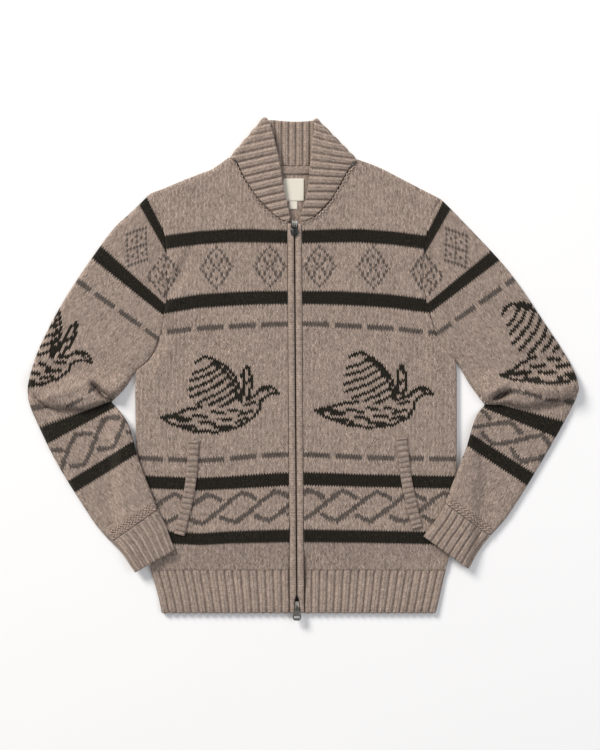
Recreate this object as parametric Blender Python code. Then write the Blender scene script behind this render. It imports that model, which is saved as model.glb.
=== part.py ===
"""Zip-up knitted sweater laid flat on its back.

Metres and +Z up in the scene; every table and size below is in millimetres.
Y runs from the hem to the collar, X across the chest, Z up from the surface.
The origin is on the zip line, level with the armpits, on the surface.
Left and right are as they show from above: left is -X.
"""
import math

import bmesh
import bpy
from mathutils import Matrix, Vector

MM = 0.001

# Cloth heights above the surface
CLOTH = 3.0
SEAM_GAP = 0.3
BACK_TOP = CLOTH
FRONT_UNDER = 6.7
FRONT_TOP = FRONT_UNDER + CLOTH
EDGE_ROLL = 10.0
FRONT_EDGE_DROP = 1.9
BACK_EDGE_CURL = 1.5
OVER_BODY = 10.3
RAMP_FAR = 46.0
RAMP_NEAR = 22.0

# Body: Y of the seams
HEM_BOTTOM = -380.0
HEM_TOP = -314.0
ZIP_TOP = 226.0

# Zip line, which leans a little, and the facings beside it
ZIP_X_TOP = -2.3
ZIP_X_BOTTOM = 1.6
FACING_OUT = 11.2
FACING_GAP = 1.1
FACING_TOP = 11.9

# One row for each place up the side seam: Y, X of the left side, X of the right side
SIDE = [
    (-380.0, -208.5, 217.0),
    (-360.0, -212.5, 222.0),
    (-336.0, -219.0, 227.5),
    (-314.0, -225.5, 232.5),
    (-279.0, -234.5, 240.5),
    (-238.5, -239.5, 244.0),
    (-198.5, -242.5, 247.0),
    (-158.0, -245.5, 249.0),
    (-118.0, -247.5, 249.5),
    (-80.5, -249.0, 249.5),
    (-43.5, -249.5, 249.5),
    (-8.0, -249.0, 249.5),
    (12.5, -240.0, 248.0),
]

# Armhole seams from armpit to shoulder tip: X, Y
ARMHOLE_LEFT = [
    (-248.0, -3.0), (-232.5, 10.0), (-221.5, 25.0), (-214.5, 42.0), (-208.5, 61.0),
    (-204.5, 83.5), (-201.0, 112.0), (-199.7, 142.0), (-200.0, 173.5), (-203.0, 202.0),
    (-211.0, 229.5), (-219.0, 251.0), (-226.5, 270.5),
]
ARMHOLE_RIGHT = [
    (248.0, 12.5), (236.0, 24.0), (226.5, 36.0), (218.5, 50.0), (212.5, 68.0),
    (207.0, 86.0), (202.0, 110.0), (198.8, 138.0), (198.0, 164.5), (200.0, 190.0),
    (205.0, 218.0), (213.5, 243.0), (225.0, 262.0),
]

# Shoulder lines and back neck seam from left tip to right tip: X, Y
TOP_LINE = [
    (-226.5, 270.5), (-211.0, 276.0), (-173.5, 291.5), (-128.5, 307.0), (-105.0, 316.5),
    (-93.0, 318.8), (-82.0, 317.0), (-62.0, 314.0), (-40.5, 312.5), (0.0, 311.0),
    (40.5, 312.5), (65.0, 314.0), (80.0, 316.0), (91.5, 314.5), (99.0, 316.0),
    (116.0, 312.5), (135.0, 307.0), (167.5, 291.5), (197.0, 276.0), (225.0, 262.0),
]
NECK_LEFT_X = -93.0
NECK_RIGHT_X = 91.5

# Front neckline seams from the zip to the shoulder: X, Y
NECKLINE_LEFT = [
    (-13.8, 226.0), (-24.5, 229.5), (-36.5, 238.5), (-48.5, 248.5), (-60.0, 262.5),
    (-71.5, 279.0), (-81.5, 295.0), (-88.5, 309.0), (-93.0, 318.8),
]
NECKLINE_RIGHT = [
    (9.2, 226.0), (20.5, 229.0), (33.0, 237.0), (45.0, 248.0), (56.0, 261.5),
    (66.0, 278.0), (74.5, 292.5), (82.0, 306.0), (91.5, 314.5),
]

# Sleeve edges, upper arm: inner edge from the armpit, outer edge from the shoulder tip
UPPER_IN_LEFT = [(-248.4, -3.4), (-256.0, -17.0), (-268.0, -34.0), (-278.0, -44.0), (-286.0, -52.0)]
UPPER_OUT_LEFT = [
    (-226.9, 270.7), (-252.5, 245.0), (-285.0, 214.0), (-330.0, 152.0), (-369.0, 90.0),
    (-400.0, 28.0), (-413.0, -10.0), (-416.5, -28.0),
]
UPPER_IN_RIGHT = [(248.4, 12.2), (256.0, -1.0), (268.0, -22.0), (282.0, -42.0), (293.0, -56.5)]
UPPER_OUT_RIGHT = [
    (225.4, 262.2), (257.5, 229.5), (316.0, 167.5), (350.0, 124.0), (383.0, 74.5),
    (412.0, 31.0), (433.0, -6.0), (439.0, -28.0),
]

# Lower edge of the roll of cloth at the elbow, from the inner elbow outwards
ELBOW_LEFT = [
    (-286.0, -52.0), (-304.0, -56.0), (-327.0, -65.5), (-350.0, -64.5), (-377.0, -63.0),
    (-397.0, -54.0), (-408.0, -42.0), (-416.5, -28.0),
]
ELBOW_RIGHT = [
    (293.0, -56.5), (312.0, -57.0), (330.0, -56.0), (345.0, -62.0), (378.0, -58.5),
    (409.0, -51.5), (430.0, -44.0), (439.0, -28.0),
]

# Forearm edges from the elbow to the cuff seam, then the cuff to its open end
FORE_IN_LEFT = [
    (-286.0, -54.5), (-278.0, -62.0), (-265.0, -77.5), (-256.0, -96.0), (-248.0, -127.0),
    (-237.0, -159.5), (-226.5, -186.0), (-214.0, -219.0),
]
FORE_OUT_LEFT = [
    (-417.0, -32.0), (-414.0, -56.0), (-397.0, -96.0), (-369.0, -152.0), (-328.5, -217.0),
    (-308.5, -246.5), (-287.0, -270.5),
]
FORE_IN_RIGHT = [
    (293.0, -59.0), (284.0, -68.0), (277.0, -80.0), (271.0, -98.5), (265.0, -119.5),
    (252.0, -154.0), (237.0, -192.0), (231.0, -209.5),
]
FORE_OUT_RIGHT = [
    (439.5, -32.0), (433.0, -52.0), (406.0, -103.0), (371.0, -163.0), (333.5, -223.0),
    (314.5, -247.0), (301.5, -261.0),
]
CUFF_IN_LEFT = [(-213.8, -219.5), (-201.5, -243.5), (-194.0, -263.5), (-187.0, -281.5)]
CUFF_OUT_LEFT = [(-286.6, -271.0), (-270.0, -287.5), (-259.5, -302.0), (-249.0, -316.5)]
CUFF_IN_RIGHT = [(230.8, -210.0), (221.5, -227.5), (209.0, -244.0), (197.0, -260.5)]
CUFF_OUT_RIGHT = [(301.1, -261.5), (290.0, -275.0), (279.0, -292.0), (268.0, -311.5)]

# Soft folds: X and Y at each end, half width, height (minus is a trough)
FRONT_FOLDS = [
    (-192.0, 37.0, -214.0, -42.0, 13.0, 1.7),
    (-168.0, 52.0, -190.0, -20.0, 14.0, -1.3),
    (-226.0, 8.0, -240.0, -34.0, 9.0, -1.2),
    (-150.0, -40.0, -170.0, -170.0, 20.0, 0.7),
    (205.0, 52.0, 222.0, -30.0, 13.0, 1.5),
    (178.0, 60.0, 196.0, -24.0, 14.0, -1.1),
    (232.0, 8.0, 240.0, -40.0, 8.0, -1.1),
    (120.0, -30.0, 136.0, -160.0, 20.0, 0.6),
]
SLEEVE_FOLDS = [
    (-216.0, 40.0, -259.0, 15.0, 9.0, 1.8),
    (-232.0, 62.0, -300.0, 50.0, 12.0, -1.2),
    (-296.0, -6.0, -372.0, 14.0, 14.0, 1.6),
    (-300.0, -34.0, -322.0, -26.0, 9.0, -3.2),
    (-330.0, -92.0, -382.0, -84.0, 12.0, 1.4),
    (-290.0, -100.0, -262.0, -132.0, 10.0, -1.4),
    (239.0, 74.0, 277.0, 2.0, 11.0, -1.9),
    (222.0, 62.0, 256.0, 0.0, 9.0, 1.4),
    (318.0, -8.0, 396.0, 12.0, 14.0, 1.6),
    (318.0, -40.0, 338.0, -30.0, 9.0, -3.0),
    (352.0, -92.0, 400.0, -80.0, 12.0, 1.3),
    (300.0, -100.0, 276.0, -136.0, 10.0, -1.3),
]
ELBOW_ROLL = 5.6

# Ribs: how far a rib stands out, and how many each band has
RIB = 1.5
RIBS_HEM_LEFT = 17
RIBS_HEM_RIGHT = 18
RIBS_CUFF = 7
RIBS_FLAP = 12
RIBS_COLLAR_BACK = 14
RIBS_WELT = 18
RIB_PHASES = [(0.0, 0.0), (0.3, 1.0), (0.7, 1.0)]

# Collar stations from the zip to the fold at the shoulder:
# seam X, seam Y, free edge X, free edge Y, height of the cloth's middle at seam, middle and edge
FLAP_LEFT = [
    (-12.4, 227.6, -9.0, 232.0, 8.3, 8.8, 9.2),
    (-23.2, 231.2, -10.5, 240.0, 8.3, 9.6, 9.8),
    (-35.5, 240.4, -12.5, 251.0, 8.3, 10.4, 10.4),
    (-59.0, 264.4, -18.0, 273.5, 8.3, 11.6, 11.2),
    (-70.4, 280.8, -20.5, 289.0, 8.3, 12.0, 11.4),
    (-80.3, 296.4, -23.0, 306.0, 8.6, 12.2, 11.6),
    (-87.0, 310.2, -27.0, 327.0, 9.4, 12.2, 11.8),
    (-91.5, 320.5, -37.0, 369.0, 11.2, 12.2, 12.0),
]
FLAP_RIGHT = [
    (8.8, 227.6, 6.2, 232.0, 8.3, 8.8, 9.2),
    (19.6, 231.0, 8.0, 240.0, 8.3, 9.6, 9.8),
    (32.0, 239.0, 11.0, 250.0, 8.3, 10.4, 10.4),
    (55.0, 263.5, 18.0, 275.0, 8.3, 11.6, 11.2),
    (64.8, 279.8, 20.0, 291.5, 8.3, 12.0, 11.4),
    (73.2, 294.0, 21.5, 308.5, 8.6, 12.2, 11.6),
    (80.6, 307.4, 23.0, 328.5, 9.4, 12.2, 11.8),
    (88.0, 317.4, 27.5, 369.0, 11.2, 12.2, 12.0),
]
# Fold of the collar, on the outline: X and Y at the seam and at the free edge
FOLD_LEFT = (-101.5, 326.3, -48.0, 389.0)
FOLD_RIGHT = (94.5, 321.7, 31.0, 386.8)
# Back of the collar: seam X, seam Y, free edge X, free edge Y
COLLAR_BACK = [
    (-84.0, 322.0, -37.0, 385.5),
    (-62.0, 318.5, -29.0, 384.8),
    (-40.5, 315.5, -20.0, 384.0),
    (0.0, 313.5, -3.0, 383.0),
    (40.5, 315.5, 12.0, 383.4),
    (60.5, 318.5, 20.0, 384.0),
    (79.0, 320.5, 26.0, 384.6),
]
FLAP_MID_Z = 12.2
COLLAR_CLOTH = 3.2
COLLAR_BACK_Z = COLLAR_CLOTH / 2

# Pocket welts: centre line X and Y from top to bottom, and half width
WELT_LEFT = [(-158.5, -112.0), (-160.5, -152.0), (-164.5, -186.0), (-172.0, -223.0), (-181.0, -258.5)]
WELT_RIGHT = [(163.5, -107.0), (167.5, -142.5), (172.0, -178.0), (180.0, -214.0), (188.0, -248.0)]
WELT_HALF = 8.5
WELT_CLOTH = 2.6

# Neck tape, label and size tab, on the inside of the back
TAPE_WIDTH = 9.0
TAPE_THICK = 1.3
TAPE_REACH = 78.0
LABEL = (-20.4, 259.5, 12.6, 294.5)
TAB = (-10.6, 247.0, 2.0, 259.2)
LABEL_THICK = 1.0

# Zip and sliders
TAPE_HALF = 10.8
ZIP_TAPE_LOW = 4.4
ZIP_TAPE_HIGH = 5.4
CHAIN_HALF = 2.6
CHAIN_TOP = 6.4
SLIDER_LOW = CHAIN_TOP + SEAM_GAP
SLIDER_TOP_Z = 12.3
# centre Y, half length, half width of each slider, and Y of its pull's axis
TOP_SLIDER = (223.6, 5.2, 4.2, 223.6)
BOTTOM_SLIDER = (-368.5, 6.8, 3.1, -370.6)
AXIS_Z = 13.9
BRIDGE_HALF = 1.2
BRIDGE_FOOT_IN = 2.3
BRIDGE_FOOT_OUT = 3.5
BRIDGE_HOLE_TOP = 1.7
BRIDGE_TOP = 2.7
LEG_IN = 1.6
LEG_OUT = 2.9
LEG_REACH = 5.2
PIN_HALF = 0.75
PULL_THICK = 2.0

CLOTH_COLOUR = (0.33, 0.25, 0.20)
METAL_COLOUR = (0.35, 0.34, 0.33)
BLACK_COLOUR = (0.015, 0.014, 0.013)
LABEL_COLOUR = (0.72, 0.66, 0.54)
ZIP_COLOUR = (0.03, 0.03, 0.03)


# Curves and small maths

def lerp(a, b, t):
    return a + (b - a) * t


def smooth(t):
    """0 to 1 with soft ends."""
    t = min(1.0, max(0.0, t))
    return t * t * (3.0 - 2.0 * t)


def quarter(t):
    """Height of a quarter circle: 0 at the edge, 1 once t reaches 1."""
    t = min(1.0, max(0.0, t))
    return math.sqrt(1.0 - (1.0 - t) ** 2)


def lengths(points):
    """Running length at each point."""
    total = [0.0]
    for a, b in zip(points, points[1:]):
        total.append(total[-1] + math.dist(a, b))
    return total


def along(points, distance):
    """The point at a distance along a smooth curve through the points."""
    total = lengths(points)
    distance = min(total[-1], max(0.0, distance))
    k = 0
    while k < len(points) - 2 and total[k + 1] < distance:
        k += 1
    t = (distance - total[k]) / (total[k + 1] - total[k])
    before = points[max(k - 1, 0)]
    a, b = points[k], points[k + 1]
    after = points[min(k + 2, len(points) - 1)]
    place = []
    for w, x, y, z in zip(before, a, b, after):
        bend = t * (y - w + t * (2 * w - 5 * x + 4 * y - z + t * (3 * (x - y) + z - w)))
        place.append(x + 0.5 * bend)
    return tuple(place)


def sampled(points, fractions):
    whole = lengths(points)[-1]
    return [along(points, whole * f) for f in fractions]


def edge_spaced(length, middle, near=(0.0, 1.5, 5.0, 10.0)):
    """Places across a piece: close together at both edges, even between them."""
    inner = length - 2 * near[-1]
    places = list(near)
    places += [near[-1] + inner * k / (middle + 1) for k in range(1, middle + 1)]
    places += [length - n for n in reversed(near)]
    return places


def to_segment(x, y, ax, ay, bx, by):
    """Distance to a segment, and how far along it the nearest point is."""
    dx, dy = bx - ax, by - ay
    t = ((x - ax) * dx + (y - ay) * dy) / (dx * dx + dy * dy)
    t = min(1.0, max(0.0, t))
    return math.hypot(x - ax - t * dx, y - ay - t * dy), t


def to_line(x, y, points):
    return min(to_segment(x, y, *a, *b)[0] for a, b in zip(points, points[1:]))


def table_value(table, key, key_column, value_column):
    """Reads a table between its rows, which go up in the key column."""
    rows = zip(table, table[1:])
    for a, b in rows:
        if key <= b[key_column]:
            t = (key - a[key_column]) / (b[key_column] - a[key_column])
            return lerp(a[value_column], b[value_column], max(0.0, t))
    return table[-1][value_column]


def folds(x, y, table):
    """Height of the soft folds at a place."""
    height = 0.0
    for ax, ay, bx, by, half, rise in table:
        away, t = to_segment(x, y, ax, ay, bx, by)
        fade = 0.55 + 0.45 * math.sin(math.pi * t)
        height += rise * fade * math.exp(-(away / half) ** 2)
    return height


# Outline of the body, round which the cloth rolls over

SIDE_LEFT = [(left, y) for y, left, right in SIDE]
SIDE_RIGHT = [(right, y) for y, left, right in SIDE]
SHOULDER_LEFT = [p for p in TOP_LINE if p[0] <= NECK_LEFT_X]
SHOULDER_RIGHT = [p for p in TOP_LINE if p[0] >= NECK_RIGHT_X]
HEM_EDGE = [SIDE_LEFT[0], SIDE_RIGHT[0]]
OUTLINES = [SIDE_LEFT, SIDE_RIGHT, SHOULDER_LEFT, SHOULDER_RIGHT, HEM_EDGE]


def edge_distance(x, y):
    return min(to_line(x, y, line) for line in OUTLINES)


def front_top(x, y):
    roll = 1.0 - quarter(edge_distance(x, y) / EDGE_ROLL)
    return FRONT_TOP + folds(x, y, FRONT_FOLDS) - FRONT_EDGE_DROP * roll


def front_under(x, y):
    roll = 1.0 - quarter(edge_distance(x, y) / EDGE_ROLL)
    return min(front_top(x, y) - CLOTH, FRONT_UNDER - FRONT_EDGE_DROP * roll)


def back_curl(x, y):
    return BACK_EDGE_CURL * (1.0 - quarter(edge_distance(x, y) / (0.7 * EDGE_ROLL)))


def zip_x(y):
    t = (y - HEM_BOTTOM) / (ZIP_TOP - HEM_BOTTOM)
    return lerp(ZIP_X_BOTTOM, ZIP_X_TOP, t)


# Making meshes

def material(name, colour, roughness, metallic=0.0):
    mat = bpy.data.materials.get(name)
    if mat is None:
        mat = bpy.data.materials.new(name)
        mat.use_nodes = True
        shader = mat.node_tree.nodes["Principled BSDF"]
        shader.inputs["Base Color"].default_value = (*colour, 1.0)
        shader.inputs["Roughness"].default_value = roughness
        shader.inputs["Metallic"].default_value = metallic
        mat.diffuse_color = (*colour, 1.0)
    return mat


def volume(points, faces):
    total = 0.0
    for face in faces:
        a = Vector(points[face[0]])
        for k in range(1, len(face) - 1):
            total += a.dot(Vector(points[face[k]]).cross(Vector(points[face[k + 1]])))
    return total


def add_object(name, points, faces, mat):
    """A mesh from points in millimetres, with its faces pointing out."""
    if volume(points, faces) < 0:
        faces = [tuple(reversed(face)) for face in faces]
    mesh = bpy.data.meshes.new(name)
    mesh.from_pydata([(x * MM, y * MM, z * MM) for x, y, z in points], [], faces)
    mesh.materials.append(mat)
    mesh.shade_smooth()
    mesh.set_sharp_from_angle(angle=math.radians(40.0))
    obj = bpy.data.objects.new(name, mesh)
    bpy.context.scene.collection.objects.link(obj)
    return obj


def wall(name, outer, inner, mat, ring=False):
    """A closed wall between two equal grids of points.

    A ring joins each row's last point to its first, so the wall is a tube.
    """
    rows, columns = len(outer), len(outer[0])
    points = [p for row in outer for p in row] + [p for row in inner for p in row]
    inside = rows * columns
    steps = columns if ring else columns - 1
    faces = []
    for r in range(rows - 1):
        for c in range(steps):
            d = (c + 1) % columns
            a, b = r * columns + c, r * columns + d
            e, f = b + columns, a + columns
            faces.append((a, b, e, f))
            faces.append((a + inside, f + inside, e + inside, b + inside))
    for r in (0, rows - 1):
        for c in range(steps):
            a, b = r * columns + c, r * columns + (c + 1) % columns
            rim = (a, a + inside, b + inside, b)
            faces.append(rim if r == 0 else tuple(reversed(rim)))
    if not ring:
        for c in (0, columns - 1):
            for r in range(rows - 1):
                a, f = r * columns + c, (r + 1) * columns + c
                rim = (a, f, f + inside, a + inside)
                faces.append(rim if c == 0 else tuple(reversed(rim)))
    return add_object(name, points, faces, mat)


def bar(name, sections, mat):
    """A solid bar through equal rings of points, closed at both ends."""
    count = len(sections[0])
    points = [p for section in sections for p in section]
    faces = [tuple(reversed(range(count)))]
    faces.append(tuple(range(len(points) - count, len(points))))
    for s in range(len(sections) - 1):
        for k in range(count):
            a, b = s * count + k, s * count + (k + 1) % count
            faces.append((a, b, b + count, a + count))
    return add_object(name, points, faces, mat)


# Body panels

def panel_rows(starts, ends, top_from, columns):
    """Rows of plan points from start to end, the last of them bent to the top line."""
    total = lengths(ends)
    rows = []
    for k, (a, b) in enumerate(zip(starts, ends)):
        width = math.dist(a, b)
        lift = 0.0
        if k > top_from:
            lift = (total[k] - total[top_from]) / (total[-1] - total[top_from])
        row = []
        last_a, last_b = starts[-1], ends[-1]
        for place in edge_spaced(width, columns):
            t = place / width
            x, y = lerp(a[0], b[0], t), lerp(a[1], b[1], t)
            chord = lerp(last_a[1], last_b[1], (x - last_a[0]) / (last_b[0] - last_a[0]))
            row.append((x, y + lift * (table_value(TOP_LINE, x, 0, 1) - chord)))
        rows.append(row)
    return rows


FRONT_COLUMNS = 5
BACK_COLUMNS = 11
ARM_STEPS = 7
ARM_NEAR = (0.0, 1.5, 5.0, 10.0)
ARM_GAP = 0.6


def armhole_points(table):
    whole = lengths(table)[-1]
    return [along(table, s) for s in edge_spaced(whole, ARM_STEPS, ARM_NEAR)]


def side_points(side):
    """Side seam from the hem's seam up to the armpit."""
    column = 1 if side < 0 else 2
    return [(row[column], row[0]) for row in SIDE if HEM_TOP + 1 < row[0] < -7.0]


def side_at(y, side):
    return table_value(SIDE, y, 0, 1 if side < 0 else 2)


def front_panel(name, side, armhole, neckline, mat):
    """One front: rows run from the zip or the neckline to the side or the armhole."""
    hem = HEM_TOP + SEAM_GAP
    ends = [(side_at(hem, side), hem)] + side_points(side) + armhole_points(armhole)
    inner_x = FACING_OUT + SEAM_GAP
    below = len(ends) - (ARM_STEPS + 8)
    starts = [(zip_x(y) + side * inner_x, y) for x, y in ends[:below]]
    up_zip = ARM_STEPS
    first = starts[-1][1] + 12.0
    for k in range(up_zip):
        y = lerp(first, ZIP_TOP - 1.0, k / (up_zip - 1))
        starts.append((zip_x(y) + side * inner_x, y))
    whole = lengths(neckline)[-1]
    up_neck = len(ends) - len(starts)
    for s in [whole * k / (up_neck - 3) for k in range(1, up_neck - 3)]:
        starts.append(along(neckline, s))
    starts += [along(neckline, whole - n) for n in (5.0, 1.5, 0.0)]
    rows = panel_rows(starts, ends, len(ends) - 6, FRONT_COLUMNS)
    outer = [[(x, y, front_top(x, y)) for x, y in row] for row in rows]
    inner = [[(x, y, front_under(x, y)) for x, y in row] for row in rows]
    return wall(name, outer, inner, mat)


def back_panel(mat):
    """The whole back, from the hem's seam to the shoulders and the neck."""
    hem = HEM_TOP + SEAM_GAP
    left = [(side_at(hem, -1), hem)] + side_points(-1) + armhole_points(ARMHOLE_LEFT)
    right = [(side_at(hem, 1), hem)] + side_points(1) + armhole_points(ARMHOLE_RIGHT)
    rows = panel_rows(left, right, len(left) - 9, BACK_COLUMNS)
    outer = [[(x, y, BACK_TOP + back_curl(x, y)) for x, y in row] for row in rows]
    inner = [[(x, y, back_curl(x, y)) for x, y in row] for row in rows]
    return wall("back_panel", outer, inner, mat)


def hem_band(name, left_x, right_x, ribs, mat):
    """A hem band: ribs run down it, over a plain underside."""
    rows_y = [HEM_TOP, -346.0, -372.0, -377.5, HEM_BOTTOM]
    steps = ribs * 3 if ribs else 10
    outer, inner = [], []
    for y in rows_y:
        a, b = left_x(y), right_x(y)
        top_row, low_row = [], []
        for k in range(steps + 1):
            rib = 0.0
            if ribs and k < steps:
                phase, crest = RIB_PHASES[k % 3]
                t = (k // 3 + phase) / ribs
                rib = RIB * (crest - 0.5)
            else:
                t = k / steps
                rib = -0.5 * RIB if ribs else 0.0
            x = lerp(a, b, t)
            if ribs:
                top_row.append((x, y, front_top(x, y) + rib))
                low_row.append((x, y, front_under(x, y)))
            else:
                top_row.append((x, y, BACK_TOP + back_curl(x, y)))
                low_row.append((x, y, back_curl(x, y)))
        outer.append(top_row)
        inner.append(low_row)
    return wall(name, outer, inner, mat)


# Sleeves: flat tubes, one ring of points after another

def over_body(x, y, side):
    """Height of the surface that a forearm lies on: the floor, then up over the body."""
    outside = side * (x - side_at(y, side))
    return OVER_BODY * smooth((RAMP_FAR - outside) / (RAMP_FAR - RAMP_NEAR))


def tube_ring(plan, places, floor, top, inset):
    """One ring: the upper layer from the inner to the outer edge, then back underneath.

    plan gives a point at a distance across, floor and top give heights at a point.
    """
    length = places[-1]
    radius = EDGE_ROLL - inset
    ring = []
    for layer in (1, -1):
        order = places if layer > 0 else list(reversed(places))[1:-1]
        for place in order:
            across = inset + place * (length - 2 * inset) / length
            x, y = plan(across)
            low = floor(x, y)
            middle = low + 0.5 * FRONT_TOP
            rim = quarter(min(across - inset, length - inset - across) / radius)
            if layer > 0:
                full = low + FRONT_UNDER if inset else top(x, y, across / length, low)
            else:
                full = low + inset
            ring.append((x, y, lerp(middle, full, rim)))
    return ring


ARM_STATIONS = [0.0, 0.1, 0.24, 0.4, 0.56, 0.7, 0.82, 0.9, 0.96, 1.0]
FORE_STATIONS = [0.0, 0.07, 0.16, 0.28, 0.4, 0.52, 0.64, 0.76, 0.88, 1.0]


def straight_along(points, t):
    """The point at a share of the way along straight runs between points."""
    total = lengths(points)
    distance = t * total[-1]
    k = 0
    while k < len(points) - 2 and total[k + 1] < distance:
        k += 1
    u = (distance - total[k]) / (total[k + 1] - total[k])
    return lerp(points[k][0], points[k + 1][0], u), lerp(points[k][1], points[k + 1][1], u)


def bowed(start, end, curve, weight, t):
    """A straight line from start to end, bent by a curve's own departure from its chord."""
    x, y = lerp(start[0], end[0], t), lerp(start[1], end[1], t)
    cx, cy = straight_along(curve, t)
    dx = cx - lerp(curve[0][0], curve[-1][0], t)
    dy = cy - lerp(curve[0][1], curve[-1][1], t)
    return x + weight * dx, y + weight * dy


def sleeve(name, side, armhole, upper_in, upper_out, elbow, fore_in, fore_out, mat):
    """A whole sleeve, from the armhole over the elbow's roll to the cuff seam."""
    outer, inner = [], []
    inner_edge = sampled(upper_in, ARM_STATIONS)
    outer_edge = sampled(upper_out, ARM_STATIONS)
    seam = armhole_points(armhole)
    last = len(seam) - 1
    shifted = [
        (x + side * ARM_GAP, y - ARM_GAP * (1.0 - k / last)) for k, (x, y) in enumerate(seam)
    ]
    for v, a, b in zip(ARM_STATIONS, inner_edge, outer_edge):
        at_arm, at_elbow = (1.0 - v) ** 1.5, v ** 4

        def plan(across):
            t = across / length
            x, y = bowed(a, b, shifted, at_arm, t)
            ex, ey = bowed(a, b, elbow, at_elbow, t)
            return x + ex - lerp(a[0], b[0], t), y + ey - lerp(a[1], b[1], t)

        def top(x, y, t, low):
            roll = smooth((v - 0.72) / 0.2) * math.sin(math.pi * min(1.0, 0.12 + t * 0.8)) ** 0.6
            calm = smooth(v / 0.1)
            return FRONT_TOP + calm * folds(x, y, SLEEVE_FOLDS) + ELBOW_ROLL * roll

        length = lengths(seam)[-1] if v == 0.0 else math.dist(a, b)
        if v == 0.0:
            a, b = shifted[0], shifted[-1]
        places = edge_spaced(length, ARM_STEPS, ARM_NEAR)
        outer.append(tube_ring(plan, places, lambda x, y: 0.0, top, 0.0))
        inner.append(tube_ring(plan, places, lambda x, y: 0.0, top, CLOTH))
    inner_edge = sampled(fore_in, FORE_STATIONS)
    outer_edge = sampled(fore_out, FORE_STATIONS)
    for v, a, b in zip(FORE_STATIONS, inner_edge, outer_edge):
        length = math.dist(a, b)
        places = edge_spaced(length, ARM_STEPS, ARM_NEAR)
        started = smooth(v / 0.2)

        def plan(across):
            return bowed(a, b, elbow, (1.0 - v) ** 3, across / length)

        def floor(x, y):
            return started * over_body(x, y, side)

        def top(x, y, t, low):
            return low + FRONT_TOP - 0.6 + smooth(v / 0.15) * folds(x, y, SLEEVE_FOLDS)

        outer.append(tube_ring(plan, places, floor, top, 0.0))
        inner.append(tube_ring(plan, places, floor, top, CLOTH))
    return wall(name, outer, inner, mat, ring=True)


def cuff(name, side, inner_edge, outer_edge, mat):
    """A ribbed cuff, open at its end, with a plain underside."""
    outer, inner = [], []
    for a, b in zip(inner_edge, outer_edge):
        length = math.dist(a, b)
        places = [0.0, 1.5]
        ribs = {}
        for k in range(RIBS_CUFF * 3 + 1):
            phase, crest = RIB_PHASES[k % 3]
            place = 4.0 + (length - 8.0) * (k // 3 + phase) / RIBS_CUFF
            places.append(place)
            ribs[round(place / length, 6)] = crest
        places += [length - 1.5, length]

        def plan(across):
            t = across / length
            return lerp(a[0], b[0], t), lerp(a[1], b[1], t)

        def floor(x, y):
            return over_body(x, y, side)

        def top(x, y, t, low):
            return low + FRONT_TOP - 0.6 + RIB * (ribs.get(round(t, 6), 0.5) - 0.5)

        outer.append(tube_ring(plan, places, floor, top, 0.0))
        inner.append(tube_ring(plan, places, floor, top, CLOTH))
    return wall(name, outer, inner, mat, ring=True)


# Collar: one ribbed band, folded double at each shoulder

def fold_stations(fold, inward):
    """The half turn at a shoulder, from the upper layer to the lower one."""
    seam_x, seam_y, edge_x, edge_y = fold
    radius = (FLAP_MID_Z - COLLAR_BACK_Z) / 2
    stations = []
    for step in range(5):
        turn = math.pi * step / 4
        back = radius * (1.0 - math.sin(turn))
        z = COLLAR_BACK_Z + radius * (1.0 + math.cos(turn))
        ends = [
            (x + inward[0] * back, y + inward[1] * back, z)
            for x, y in ((seam_x, seam_y), (edge_x, edge_y))
        ]
        stations.append((ends[0], (None, None, z), ends[1]))
    return stations


def inward_of(fold):
    """Unit direction in plan from a fold line towards the middle of the neck."""
    dx, dy = fold[2] - fold[0], fold[3] - fold[1]
    size = math.hypot(dx, dy)
    across = (dy / size, -dx / size)
    if across[0] * fold[0] > 0:
        across = (-across[0], -across[1])
    return across


def flap_station(row):
    seam_x, seam_y, edge_x, edge_y, seam_z, mid_z, edge_z = row
    return ((seam_x, seam_y, seam_z), (None, None, mid_z), (edge_x, edge_y, edge_z))


def back_station(row):
    seam_x, seam_y, edge_x, edge_y = row
    z = COLLAR_BACK_Z
    return ((seam_x, seam_y, z), (None, None, z), (edge_x, edge_y, z))


COLLAR_ACROSS = 4


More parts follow.
